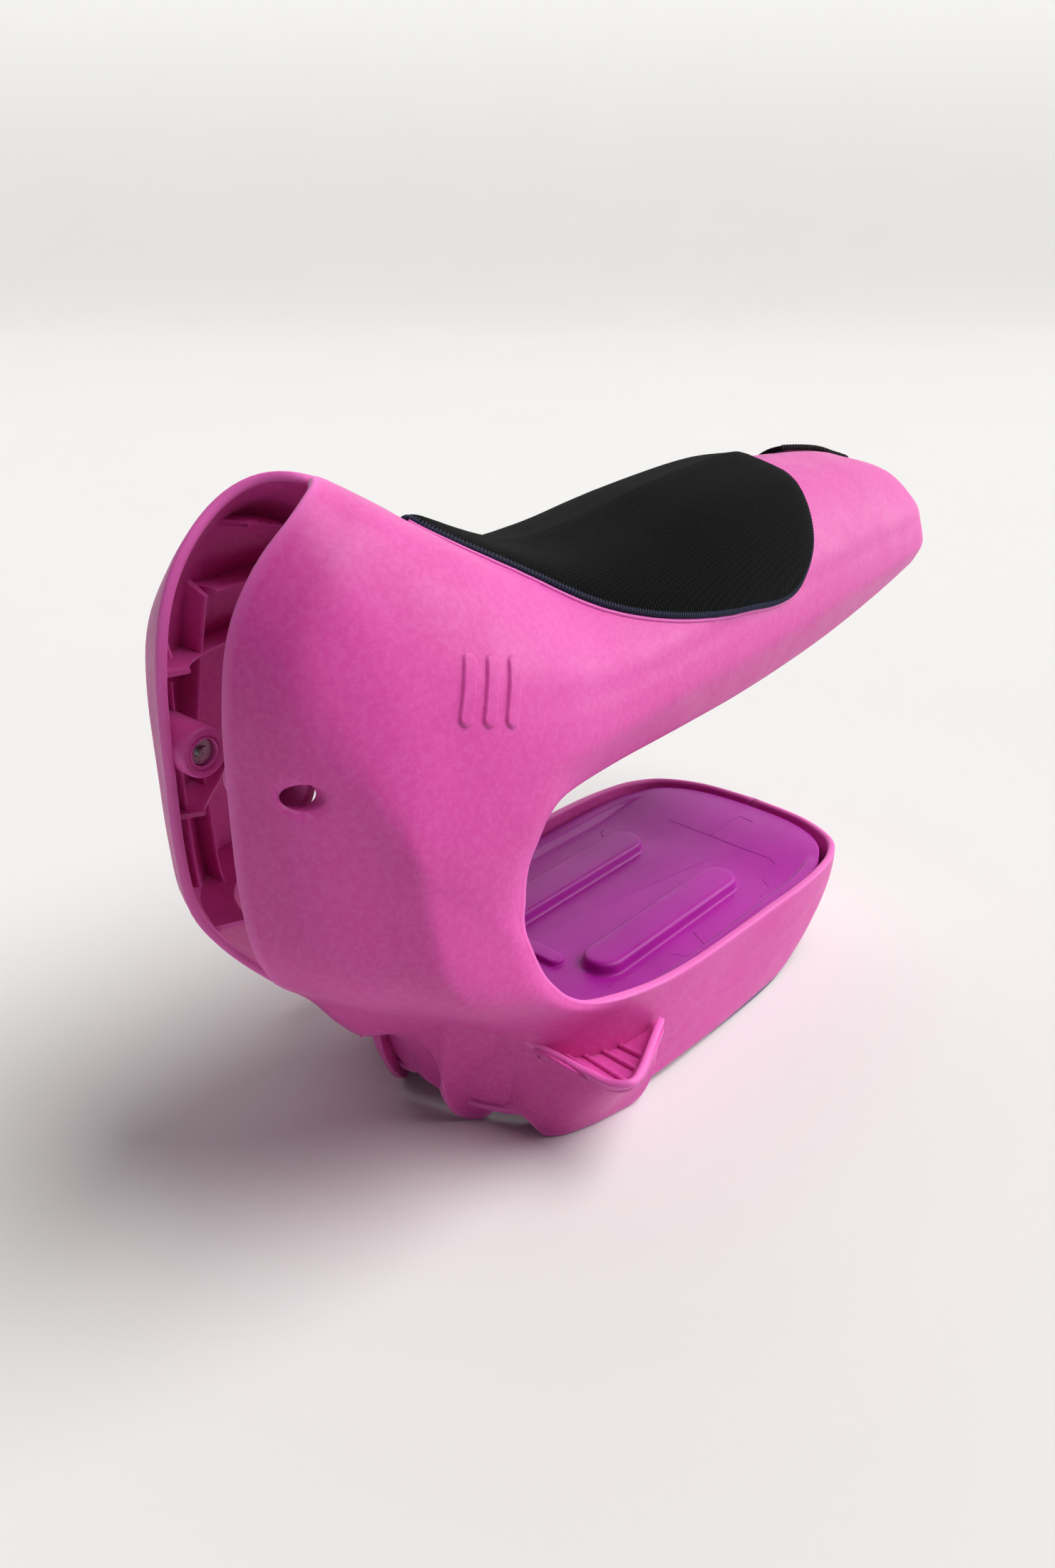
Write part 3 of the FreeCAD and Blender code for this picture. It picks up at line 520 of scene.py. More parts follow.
def skin_tree():
    """Search tree of the whole outer skin, both sides."""
    rows, columns = SKIN.shape[:2]
    left = SKIN.reshape(-1, 3)
    faces = grid_faces(rows, columns)
    both = [tuple(p) for p in left] + [tuple(p) for p in flip(left, -1)]
    faces += [[k + len(left) for k in face] for face in faces]
    return BVHTree.FromPolygons(both, faces)


TREE = skin_tree()
HIGH = 0.5                     # start of the rays, well outside the object
NEAR_SEAM = 0.1 * MM


def on_top(x, y, lift=0.0):
    """Point over the saddle's skin, lifted along its normal, and that normal."""
    y_safe = y if abs(y) > NEAR_SEAM else NEAR_SEAM
    place, normal, _, _ = TREE.ray_cast(Vector((x, y_safe, HIGH)), Vector((0, 0, -1)))
    if normal.z < 0:
        normal = -normal
    return np.array(place + normal * lift), np.array(normal)


def from_side(x, z, sign, lift=0.0):
    """Point on the side skin at x and z, lifted along its normal, and that normal."""
    place, normal, _, _ = TREE.ray_cast(Vector((x, sign * HIGH, z)), Vector((0, -sign, 0)))
    if place is None:
        return None
    if normal.y * sign < 0:
        normal = -normal
    return np.array(place + normal * lift), np.array(normal)


# ---- details of the half shells ----
SLEEVE_X = -185 * MM
SLEEVE_Z = 187 * MM
SLEEVE_SEAT = 18 * MM          # the bore starts this far from the middle plane
BORE_R = 4.5 * MM
BORE_LENGTH = 45 * MM
BORE_SIDES = 48


def cut_hole(shell, sign):
    """Screw hole from outside, cut clean through the skin."""
    bpy.ops.mesh.primitive_cylinder_add(
        vertices=BORE_SIDES, radius=BORE_R, depth=BORE_LENGTH,
        location=(SLEEVE_X, sign * (SLEEVE_SEAT + BORE_LENGTH / 2), SLEEVE_Z),
        rotation=(math.pi / 2, 0, 0),
    )
    cutter = bpy.context.object
    hole = shell.modifiers.new("hole", "BOOLEAN")
    hole.object = cutter
    hole.solver = "EXACT"
    bpy.context.view_layer.objects.active = shell
    bpy.ops.object.modifier_apply(modifier=hole.name)
    bpy.data.objects.remove(cutter, do_unlink=True)


# radius and distance from the middle plane, round the sleeve's section
SLEEVE_PROFILE = (
    (8.5, 33), (8.5, 11.4), (8.3, 10.5), (7.7, 10.0), (6.2, 10.0), (5.9, 10.5),
    (5.4, 10.5), (5.1, 10.1), (4.7, 10.2), (4.5, 10.8), (4.5, 14.5), (2.2, 14.5),
    (2.2, 18.0), (4.5, 18.0), (4.5, 33),
)
SLEEVE_SIDES = 40
SLEEVE_FACE = 10.0
# the wall behind the sleeve leans: its y at one x, and its slope
WALL_X, WALL_Y, WALL_SLOPE = -193.5, 21.0, 1.353


def sleeve(sign):
    """Screw sleeve: turned ring with a rolled face, a small inner step and a leaning outer end."""
    verts = []
    for radius, y in SLEEVE_PROFILE:
        for k in range(SLEEVE_SIDES):
            a = 2 * math.pi * k / SLEEVE_SIDES
            x = SLEEVE_X + radius * MM * math.cos(a)
            reach = max(min(y, WALL_Y + WALL_SLOPE * (x / MM - WALL_X)), SLEEVE_FACE)
            verts.append((x, sign * reach * MM, SLEEVE_Z + radius * MM * math.sin(a)))
    faces = ring_faces(len(SLEEVE_PROFILE), SLEEVE_SIDES, joined=True)
    return face_outward(mesh_object("sleeve", verts, faces))


COLUMN = slice(13 * ALONG, 23 * ALONG + 1)      # rows of the upright column
COLUMN_SIDE = 4 * SIDEWAYS + 1                  # columns from the slot past the second crease
RIB_HALF = 0.9 * MM
RIB_ROOT = 0.6                                  # share of the wall that the rib starts in
RIB_ROUND = 0.7 * MM
RIB_LEAST = 0.1 * MM
# share of the half thickness at the root, below the rounded edge and at the tip
RIB_SHARES = (1.25, 0.85, 0.35)


def sample(grid, at):
    """Point of a line of points at a fraction index."""
    i = min(int(at), len(grid) - 2)
    return grid[i] + (grid[i + 1] - grid[i]) * (at - i)


def wall_line(x):
    """Where the column's wall meets the plane at x, with the wall's normals."""
    found = []
    for line, normals in zip(OUTER[COLUMN, :COLUMN_SIDE], NORMALS[COLUMN, :COLUMN_SIDE]):
        for i, (a, b) in enumerate(zip(line[:-1, 0], line[1:, 0])):
            if (a - x) * (b - x) <= 0 and a != b:
                at = i + (x - a) / (b - a)
                found.append((sample(line, at), sample(normals, at)))
                break
    return found


def rib(found, axis, depths, sign):
    """Stiffening rib on the inside of the wall, with a rounded free edge."""
    rows = []
    shift = np.zeros(3)
    shift[axis] = RIB_HALF
    for (place, normal), depth in zip(found, depths):
        inward = normal * INWARD
        inward[axis] = 0.0
        inward = unit(inward)
        reaches = (WALL * RIB_ROOT, WALL + max(depth - RIB_ROUND, RIB_LEAST), WALL + depth)
        ring = [place + inward * reach + shift * share for reach, share in zip(reaches, RIB_SHARES)]
        ring += [
            place + inward * reach - shift * share
            for reach, share in zip(reaches[::-1], RIB_SHARES[::-1])
        ]
        rows += [flip(p, sign) for p in ring]
    count = 2 * len(RIB_SHARES)
    faces = ring_faces(len(found), count) + end_faces(len(found), count)
    return face_outward(mesh_object("rib", rows, faces, smooth=False))


# height, depth and x range of the level ribs (no height: it follows the arch of the crown);
# x, height range and depth of the uprights, and whether the depth grows downward
RIB_LEVELS = (
    (None, 12, -181, -118), (231, 11, -166, -110), (209, 10, -190, -110),
    (158, 10, -190, -110), (120, 12, -190, -110),
)
UPRIGHTS = (
    (-166.0, 112, 256, 10, False), (-181.0, 214, 240, 8, True), (-181.0, 192, 209, 8, False),
    (-182.0, 124, 178, 8, False),
)
ARCH_Y = 17 * MM
ARCH_DROP = 13 * MM
LEVEL_STEPS = 60
LEVEL_CLEAR = 12 * MM          # level ribs stop this far from the middle plane
TAPER_LEAST = 0.15


def ribs(sign):
    """Level and upright ribs inside the column."""
    made = []
    for height, depth, low, high in RIB_LEVELS:
        found = []
        for x in np.linspace(low, high, LEVEL_STEPS) * MM:
            level = height * MM if height else on_top(x, ARCH_Y)[0][2] - ARCH_DROP
            side = from_side(x, level, 1.0)
            if side is not None and side[0][1] > LEVEL_CLEAR:
                found.append((side[0], side[1] * -INWARD))
        made.append(rib(found, 2, [depth * MM] * len(found), sign))
    for x, low, high, depth, tapers in UPRIGHTS:
        found = [(p, n) for p, n in wall_line(x * MM) if low * MM <= p[2] <= high * MM]
        shares = np.linspace(TAPER_LEAST if tapers else 1.0, 1.0, len(found))
        made.append(rib(found, 0, shares * depth * MM, sign))
    return made


MOTIF_BARS = ((-131.5, 209.0), (-122.6, 206.4), (-113.7, 203.8))
MOTIF_LEAN = math.radians(64)
MOTIF_LENGTH = 22 * MM
MOTIF_WIDTH = 5.2 * MM
MOTIF_RISE = 0.9 * MM
MOTIF_SINK = 0.45              # share of the rise by which the bar's margin lies under the skin
MOTIF_LIFT = 1.35              # share of the rise from the margin to the top
MOTIF_MARGIN = 1.0 * MM
MOTIF_SOFT = 0.55 * MM         # width of the bar's sloping edge
MOTIF_GRID = (34, 14)


def motif_bar(x, z, sign):
    """One raised rounded bar of the generic motif on the flank."""
    rows, columns = MOTIF_GRID
    straight = (MOTIF_LENGTH - MOTIF_WIDTH) / 2
    verts = []
    for i in range(rows + 1):
        u = (i / rows - 0.5) * (MOTIF_LENGTH + MOTIF_MARGIN)
        for j in range(columns + 1):
            v = (j / columns - 0.5) * (MOTIF_WIDTH + MOTIF_MARGIN)
            px = x + u * math.cos(MOTIF_LEAN) - v * math.sin(MOTIF_LEAN)
            pz = z + u * math.sin(MOTIF_LEAN) + v * math.cos(MOTIF_LEAN)
            edge = MOTIF_WIDTH / 2 - math.hypot(max(abs(u) - straight, 0.0), v)
            lift = smoothstep(edge / MOTIF_SOFT + 0.5) * MOTIF_LIFT - MOTIF_SINK
            verts.append(from_side(px, pz, sign, lift * MOTIF_RISE)[0])
    return mesh_object("motif", verts, grid_faces(rows + 1, columns + 1))


# floor of the side step: its edge on the hull and its edge inside the skirt's rim
STEP_INNER = (
    (-96, 46.5, 51), (-89.9, 49.9, 45.5), (-82.4, 54.2, 39.9), (-74.3, 57.4, 36.5),
    (-65.5, 60.1, 34.7), (-56.9, 62, 33.5), (-47, 63.4, 33.6), (-35, 65, 34),
)
STEP_OUTER = (
    (-94.5, 52, 47), (-90, 76, 43.5), (-87.5, 83.5, 43), (-82.6, 87.5, 43),
    (-74.2, 87.2, 43), (-66, 84.4, 43), (-57.5, 81.2, 42.6), (-41, 73.5, 39),
)
STEP_STEPS = 6
STEP_COLUMNS = 9
STEP_THICK = 2.5 * MM
# grip bars: where they run along the hull, and how far they reach across
GRIP_SPANS = ((1, 0.55), (2, 0.93), (3, 0.93), (4, 0.92), (5, 0.90))
GRIP_R = 1.15 * MM
GRIP_LIFT = 0.35 * MM
GRIP_TAPER = (0.3, 9)          # radius share at the tip, and how fast it grows from there
GRIP_POINTS = 14
GRIP_SIDES = 10
SKIRT_HOLLOW = 1.25            # power of the hollow between the skirt's lower and upper edge
SKIRT_CLEAR = 0.5 * MM
SKIRT_ALONG, SKIRT_SIDEWAYS = 6, 3
SKIRT_BULGE = (0.5, 0.7)


def skirt_sections():
    """Each section is slightly hollow between its lower and upper edge."""
    low, high = np.array(SKIRT, float).swapaxes(0, 1)[:, :, None]
    f = np.array(SKIRT_STEPS)[:, None]
    shares = np.hstack([f ** SKIRT_HOLLOW, f ** SKIRT_HOLLOW, f])
    return (low + (high - low) * shares) * MM


def skirt(sign):
    """Flared skirt with its two paws."""
    outer = refine_grid(skirt_sections(), SKIRT_ALONG, SKIRT_SIDEWAYS)
    normals = grid_normals(outer)
    middle = (len(outer) // 2, outer.shape[1] // 2)
    way = -1.0 if normals[middle][1] > 0 else 1.0
    inner = outer + normals * way * SKIRT_WALL
    for grid in (outer, inner):
        grid[..., 1] = np.maximum(grid[..., 1], SEAM)
        grid[..., 2] = np.maximum(grid[..., 2], SKIRT_CLEAR)
        grid[0, :, 1] = SEAM
    return rounded_plate("skirt", flip(outer, sign), flip(inner, sign), *SKIRT_BULGE)


def step_edges():
    """The step floor's edge on the hull and its edge at the rim."""
    return np.array(STEP_INNER, float) * MM, np.array(STEP_OUTER, float) * MM


def step_floor(sign):
    """Floor of the side step with rounded grip bars."""
    inner, outer = (refine(edge, STEP_STEPS) for edge in step_edges())
    shares = np.linspace(0, 1, STEP_COLUMNS)[:, None, None]
    top = inner[None] + (outer - inner)[None] * shares
    low = top - np.array((0, 0, STEP_THICK))
    parts = [rounded_plate("floor", flip(top, sign), flip(low, sign), 0.0, 0.0)]
    float_attribute(parts[0], "rim", 0.0)
    for at, reach in GRIP_SPANS:
        inner, outer = (sample(edge, at) for edge in step_edges())
        shares = np.linspace(0.0, reach, GRIP_POINTS)
        line = inner + (outer - inner) * shares[:, None] + np.array((0, 0, GRIP_LIFT))
        least, growth = GRIP_TAPER
        radii = GRIP_R * np.minimum(1.0, least + growth * (reach - shares))
        parts.append(tube_object("grip", flip(line, sign), radii, GRIP_SIDES))
    return parts


def with_rim(obj):
    """Give a plain piece the rim attribute that the plates have."""
    if "rim" not in obj.data.attributes:
        float_attribute(obj, "rim", 0.0)
    return obj


PAD_REAR, PAD_WIDE, PAD_FRONT, PAD_HALF = (v * MM for v in (-104.0, 25.0, 112.0, 55.0))
PAD_MIDDLE = (PAD_FRONT + PAD_REAR) / 2
PAD_REACH = (PAD_FRONT - PAD_REAR) / 2
PAD_BLUNT, PAD_ROUND, PAD_DRAWN = 4.5, 0.4, 0.68         # powers that shape the outline's ends
OUTLINE_STEPS = 720
OUTLINE_ROUNDS = 6


def pad_half_width(x):
    """Half width of the egg-shaped pad: round at the front, drawn out to the rear."""
    if x > PAD_WIDE:
        f = (x - PAD_WIDE) / (PAD_FRONT - PAD_WIDE)
        return PAD_HALF * max(1 - f ** PAD_BLUNT, 0.0) ** PAD_ROUND
    f = (PAD_WIDE - x) / (PAD_WIDE - PAD_REAR)
    return PAD_HALF * max(1 - f * f, 0.0) ** PAD_DRAWN


def run_along(line):
    """Distance from the first point to each point of a line."""
    steps = np.linalg.norm(np.diff(line, axis=0), axis=1)
    return np.concatenate([[0], np.cumsum(steps)])


def pad_outline(count, inset):
    """Even points round the pad's outline, moved inward by inset."""
    raw = []
    for k in range(OUTLINE_STEPS):
        a = 2 * math.pi * k / OUTLINE_STEPS
        x = PAD_MIDDLE - PAD_REACH * math.cos(a)
        half = pad_half_width(x) if k % (OUTLINE_STEPS // 2) else 0.0
        raw.append((x, math.copysign(half, math.sin(a))))
    raw = soften(raw, OUTLINE_ROUNDS, closed=True)
    closed = np.vstack([raw, raw[:1]])
    run = run_along(closed)
    at = np.linspace(0, run[-1], count, endpoint=False)
    line = np.stack([np.interp(at, run, closed[:, k]) for k in (0, 1)], 1)
    along = unit(np.roll(line, -1, 0) - np.roll(line, 1, 0))
    left = np.stack([-along[:, 1], along[:, 0]], 1)
    centre = np.array((PAD_MIDDLE, 0.0))
    facing = np.sign(np.sum(left * (centre - line), axis=1, keepdims=True))
    return line + left * facing * inset


HEM_R = 1.2 * MM
HEM_INSET = HEM_R * 0.95
BEAD_R = 0.8 * MM
BEAD_OUT = HEM_R + 0.8 * MM
BEAD_LIFT = 0.1 * MM
BEAD_POINTS = 400
BEAD_ROUNDS = 3
BEAD_SIDES = 8


def edge_frames(count):
    """Skin point, normal and outward direction along the skin, round the pad's sewn edge."""
    line = pad_outline(count, HEM_INSET)
    along = np.roll(line, -1, 0) - np.roll(line, 1, 0)
    frames = []
    for (x, y), (u, v) in zip(line, along):
        place, normal = on_top(x, y)
        outward = np.array((v, -u, 0.0))
        if outward[0] * (x - PAD_MIDDLE) + outward[1] * y < 0:
            outward = -outward
        frames.append((place, normal, unit(outward - normal * outward.dot(normal))))
    return frames


def pad_bead(sign):
    """Thin raised lip of the shell round the pad, for one side."""
    frames = [f for f in edge_frames(BEAD_POINTS) if f[0][1] * sign > SEAM]
    frames.sort(key=lambda f: -math.atan2(abs(f[0][1]), f[0][0] - PAD_MIDDLE))
    points = []
    normals = []
    for place, normal, outward in frames:
        near, _, _, _ = TREE.find_nearest(Vector(place + outward * BEAD_OUT))
        points.append(np.array(near) + normal * BEAD_LIFT)
        normals.append(normal)
    bead = tube_object("bead", soften(points, BEAD_ROUNDS), BEAD_R, BEAD_SIDES, up=normals)
    # the whole bead takes the painted rim highlight
    float_attribute(bead, "rim", 1.0)
    return bead


SEAM_BULGE = 0.05              # nearly flat where the two half shells meet
SLOT_BULGE, LIP_BULGE = 0.7, 0.8


def half_shell(name, sign):
    """One half shell with all that is moulded on it."""
    start_bulge = np.where(SEAM_ROWS, SEAM_BULGE, SLOT_BULGE)
    body = rounded_plate(name, flip(OUTER, sign), flip(INNER, sign), start_bulge, LIP_BULGE)
    cut_hole(body, sign)
    parts = [body, skirt(sign)] + step_floor(sign) + ribs(sign) + [sleeve(sign)]
    parts += [motif_bar(x * MM, z * MM, sign) for x, z in MOTIF_BARS]
    parts.append(pad_bead(sign))
    return join([with_rim(part) for part in parts], name)


# ---- solids from stacked outlines ----
def stack(name, loops):
    """Closed solid from loops of points, all with the same count."""
    verts = [p for loop in loops for p in loop]
    faces = ring_faces(len(loops), len(loops[0])) + end_faces(len(loops), len(loops[0]))
    return face_outward(mesh_object(name, verts, faces))


END_STEPS = 16
LEAST_R = 0.2 * MM


def stadium(x0, x1, y0, half, grow):
    """Outline of a bar with round ends, as (x, y) points."""
    points = []
    radius = max(half + grow, LEAST_R)
    for centre, start in ((x1 - half, -90), (x0 + half, 90)):
        for k in range(END_STEPS + 1):
            a = math.radians(start + 180 * k / END_STEPS)
            points.append((centre + radius * math.cos(a), y0 + radius * math.sin(a)))
    return points


# ---- foot tray ----
TRAY_PLAN = (
    (-107, 0), (-101, 20), (-90, 35), (-76, 47), (-58, 56), (-35, 60.5), (0, 62.6),
    (60, 63), (100, 61.5), (122, 54), (134, 42), (140.5, 24), (142, 0),
)
TRAY_FLOOR = 41 * MM
TRAY_UNDER = 38 * MM
LEDGE_RISE = 4.2 * MM
LEDGE_EDGE, LEDGE_SLOPE = 9.5 * MM, 4.0 * MM
FRONT_RISE = 5.0 * MM
FRONT_X, FRONT_RUN = 78 * MM, 52 * MM
CORE_REAR, CORE_FRONT = -50 * MM, 85 * MM       # middle line that the rings shrink to
RING_STEPS = (
    0.0, 1.2, 2.4, 3.6, 4.6, 5.6, 6.4, 7.2, 8.0, 8.8, 9.6, 10.6, 12, 15, 20, 26, 33, 41, 50,
)
RING_LIMIT = 0.97
# foot ribs: both ends, middle line, half width and height
TREADS = ((-32, 76, 28.5, 9.5, 5.5), (-32, 76, -28.5, 9.5, 5.5))
CROSS_RIB = (-36, 15, 4.0, 2.6)                 # place, half length, half width and height
HAIRLINE_R = 0.28 * MM
HAIRLINE_SINK = 0.08 * MM
HAIRLINE_STEP = 3
HAIRLINE_SIDES = 6
TRAY_STEPS, EDGE_STEPS = 14, 6  # how finely the plan is refined, for the dish and for its edge
HAIRLINES = (
    ((104, 26), (103, -17), (103, -37), (100, -42)), ((103, -1), (121, -2), (128, -3), (127, -12)),
    ((72, 47), (69, 43)), ((72, 47), (80, 49)), ((86, -43), (81, -50), (71, -51)),
    ((24, -44), (19, -53)), ((6, -53), (2, -45), (-14, -44), (-36, -41)),
)


def outline_from(plan, steps):
    """Closed smooth outline from its left half."""
    left = [tuple(p) for p in plan]
    right = [(x, -y) for x, y in reversed(left) if y > 0]
    points = np.array(left + right, float) * MM
    padded = np.concatenate([points[-3:], points, points[:3]])
    fine = refine(padded, steps)
    return fine[3 * steps:(3 + len(points)) * steps]


def smoothstep(value):
    """Soft step from 0 to 1."""
    t = min(max(value, 0.0), 1.0)
    return t * t * (3 - 2 * t)


def tray_height(x, edge):
    """Height of the tray: flat floor, ledge along the wall, rising to the front."""
    front = smoothstep((x - FRONT_X) / FRONT_RUN)
    ledge = smoothstep((LEDGE_EDGE - edge) / LEDGE_SLOPE) * LEDGE_RISE
    return TRAY_FLOOR + max(front * FRONT_RISE, ledge)


def tray_dish():
    """Floor of the tray as rings round a middle line, closed underneath."""
    outline = outline_from(TRAY_PLAN, TRAY_STEPS)
    core = outline.copy()
    core[:, 0] = np.clip(core[:, 0], CORE_REAR, CORE_FRONT)
    core[:, 1] = 0.0
    reach = np.linalg.norm(outline - core, axis=1)
    loops = [[(x, y, TRAY_UNDER) for x, y in outline]]
    for distance in RING_STEPS:
        ring = outline + (core - outline) * np.minimum(distance * MM / reach, RING_LIMIT)[:, None]
        loops.append([(x, y, tray_height(x, distance * MM)) for x, y in ring])
    return stack("tray", loops)


# growth of the outline and height, from the foot up
TREAD_PROFILE = (
    (1.9, -0.6), (1.3, -0.05), (0.8, 0.35), (0.45, 0.9), (0.25, 1.7), (0.0, 3.4), (-0.25, 4.2),
    (-0.65, 4.85), (-1.25, 5.3), (-2.1, 5.5), (-3.6, 5.55), (-6.0, 5.6),
)
TREAD_TOP = 5.6
TREAD_HALF = 9.5 / 1.3         # narrower ribs have their profile scaled down


def tread(x0, x1, y0, half, height):
    """Foot rib with a filleted foot and a rolled upper edge."""
    loops = []
    scale = min(1.0, half / TREAD_HALF)
    for grow, z in TREAD_PROFILE:
        outline = stadium(x0 * MM, x1 * MM, y0 * MM, half * MM, grow * MM * scale)
        level = TRAY_FLOOR + z * MM * (height / TREAD_TOP if z > 0 else 1.0)
        loops.append([(x, y, level) for x, y in outline])
    return stack("tread", loops)


def hairline(points):
    """Fine raised parting line across the tray."""
    line = []
    for (x0, y0), (x1, y1) in zip(points[:-1], points[1:]):
        steps = max(int(math.hypot(x1 - x0, y1 - y0) / HAIRLINE_STEP), 1)
        line += [(x0 + (x1 - x0) * k / steps, y0 + (y1 - y0) * k / steps) for k in range(steps)]
    line.append(points[-1])
    outline = outline_from(TRAY_PLAN, EDGE_STEPS)
    path = []
    for x, y in line:
        edge = np.min(np.linalg.norm(outline - np.array((x, y)) * MM, axis=1))
        path.append((x * MM, y * MM, tray_height(x * MM, edge) - HAIRLINE_SINK))
    return tube_object("hairline", path, HAIRLINE_R, HAIRLINE_SIDES)


def foot_tray():
    """The foot tray with its ribs and fine lines."""
    parts = [tray_dish()]
    parts += [tread(*row) for row in TREADS]
    x, reach, half, height = CROSS_RIB
    cross = tread(-reach, reach, 0, half, height)
    quarter_turn = Matrix.Rotation(math.pi / 2, 4, "Z")
    cross.data.transform(Matrix.Translation((x * MM, 0, 0)) @ quarter_turn)
    parts.append(cross)
    lines = [hairline(points) for points in HAIRLINES]
    for part in parts + lines:
        float_attribute(part, "line", float(part in lines))
    return join(parts + lines, "tray_dish")


# ---- seat pad ----
PAD_THICK = 4.9 * MM
PAD_EDGE_THICK = 2.6 * MM
PAD_LIFT = 0.9 * MM
PAD_CROWN = 4.5 * MM           # how far in from the edge the pad reaches its full thickness
PAD_GRID = (90, 49)
PAD_POINTS = 500
PAD_INSET = HEM_R * 1.2
PAD_BULGE = 0.6
PAD_END = 0.996
PAD_LEAST = 2.0 * MM
SAG = 0.25 * MM
SAG_WAVES = ((61, 1.3), (83, 0.4))             # radians a metre and start, along and across


def seat_pad():
    """Foam pad in its knitted cover, crowned and drawn down to its sewn edge."""
    rows, columns = PAD_GRID
    top = np.zeros((rows, columns, 3))
    low = np.zeros((rows, columns, 3))
    outline = pad_outline(PAD_POINTS, 0.0)
    for i in range(rows):
        x = PAD_MIDDLE - (PAD_REACH - PAD_INSET) * PAD_END * math.cos(math.pi * i / (rows - 1))
        half = max(pad_half_width(x) - PAD_INSET, PAD_LEAST)
        for j in range(columns):
            y = half * math.sin((2 * j / (columns - 1) - 1) * math.pi / 2)
            edge = float(np.min(np.linalg.norm(outline - np.array((x, y)), axis=1)))
            crown = 1 - math.exp(-max(edge - PAD_INSET, 0.0) / PAD_CROWN)
            sag = SAG
            for value, (wave, start) in zip((x, y), SAG_WAVES):
                sag *= math.sin(value * wave + start)
            place, normal = on_top(x, y)
            thick = PAD_EDGE_THICK + (PAD_THICK - PAD_EDGE_THICK + sag) * crown
            top[i, j] = place + normal * thick
            low[i, j] = place + normal * PAD_LIFT
    return rounded_plate("seat_pad", top, low, PAD_BULGE, PAD_BULGE)


HEM_COUNT = 420
HEM_LIFT = HEM_R * 1.02
HEM_ROUNDS = 4
HEM_SIDES = 14
WOUND_R = HEM_R * 1.06
THREAD_R = 0.30 * MM
THREAD_SPACING = 1.35 * MM
THREAD_LEAN = 0.9 * MM
THREAD_START, THREAD_TURN, THREAD_STEPS = -35, 250, 8
THREAD_SIDES = 5


def hem_path():
    """Middle line of the sewn edge and the saddle's normals along it."""
    frames = edge_frames(HEM_COUNT)
    points = soften([place + normal * HEM_LIFT for place, normal, _ in frames], HEM_ROUNDS, True)
    return points, soften([normal for _, normal, _ in frames], HEM_ROUNDS, True)


def seat_edge():
    """Overlocked edge: a bound core with thread wound round it."""
    points, normals = hem_path()
    core = tube_object("seat_edge", points, HEM_R, HEM_SIDES, closed=True, up=normals)
    float_attribute(core, "thread", 0.0)
    threads = Heap()
    along = unit(np.roll(points, -1, 0) - np.roll(points, 1, 0))
    total = float(np.sum(np.linalg.norm(np.roll(points, -1, 0) - points, axis=1)))
    stitches = int(total / THREAD_SPACING)
    for k in range(stitches):
        at = k * HEM_COUNT / stitches
        i = int(at) % HEM_COUNT
        centre = points[i] + (points[(i + 1) % HEM_COUNT] - points[i]) * (at - int(at))
        side = unit(np.cross(along[i], normals[i]))
        path = []
        for m in range(THREAD_STEPS + 1):
            f = m / THREAD_STEPS
            a = math.radians(THREAD_START + THREAD_TURN * f)
            out = (side * math.cos(a) + normals[i] * math.sin(a)) * WOUND_R
            path.append(centre + out + along[i] * THREAD_LEAN * (f - 0.5))
        threads.add(*tube(path, THREAD_R, THREAD_SIDES, up=along[i]))
    wound = threads.build("threads")
    float_attribute(wound, "thread", 1.0)
    return join([core, wound], "seat_edge")


# ---- strap ----
STRAP_X0, STRAP_W, STRAP_T = 171.0, 50.0, 2.2    # rear edge, width and thickness
STRAP_END_Y = (15.0, 5.0)      # free end at the strap's rear and front edges
STRAP_HALF = (48.4, 43.4)      # half width of the nose there
STRAP_LOW = (161.0, 167.0)     # and height of its lower edge
STRAP_COLUMNS = 21
STRAP_STEPS = 6
STRAP_ROUNDS = 2
STRAP_BULGE = 0.8
STRAP_TOP_POINTS = 12
STRAP_TOP_SHARE = 0.93         # share of the half width where its top ends and its side begins
SELVEDGE = 0.86                # thickness share at the strap's edges
# middle of the bend, the way from there to the free end, and half of the bend's length, in metres
FLAP_LIFT, BASE_LIFT = 1.7, 0.9
SETTLE_Y, SETTLE_RUN = 30.0, 8.0
BAR_Y, BAR_Z, LOOP_R = 20.0, 184.0, 6.9
# down the nose's side: y from its half width, and height
STRAP_SIDE = ((0.2, 188), (1.9, 181), (0.4, 171))
# under the lip: y from its half width, and height from its lower edge
STRAP_UNDER = ((-4.6, -0.9), (-12.0, -2.4), (-17.4, 3.2))
LOOP_START, LOOP_TAIL = 176, 8.0                 # height where it meets the bar, and drop behind it
LOOP_TURNS = (0, 45, 90, 135, 180)


def at_strap(pair, x):
    """Value between those at the strap's rear and front edges."""
    return np.interp(x, (STRAP_X0, STRAP_X0 + STRAP_W), pair)


def strap_row(x):
    """Inner face of the strap at one x, from its free end over the lip and round the bar."""
    half = at_strap(STRAP_HALF, x)
    low = at_strap(STRAP_LOW, x)
    points = []
    for y in np.linspace(at_strap(STRAP_END_Y, x), STRAP_TOP_SHARE * half, STRAP_TOP_POINTS):
        lift = FLAP_LIFT + (BASE_LIFT - FLAP_LIFT) * smoothstep((y - SETTLE_Y) / SETTLE_RUN)
        points.append(on_top(x * MM, y * MM, lift * MM)[0])
    side = [(half + out, z) for out, z in STRAP_SIDE]
    side += [(half + out, low + up) for out, up in STRAP_UNDER]
    side.append((BAR_Y + LOOP_R, LOOP_START))
    for angle in LOOP_TURNS:
        a = math.radians(angle)
        side.append((BAR_Y + LOOP_R * math.cos(a), BAR_Z + LOOP_R * math.sin(a)))
    side.append((BAR_Y - LOOP_R, BAR_Z - LOOP_TAIL))
    return np.array(points + [np.array((x, y, z)) * MM for y, z in side])


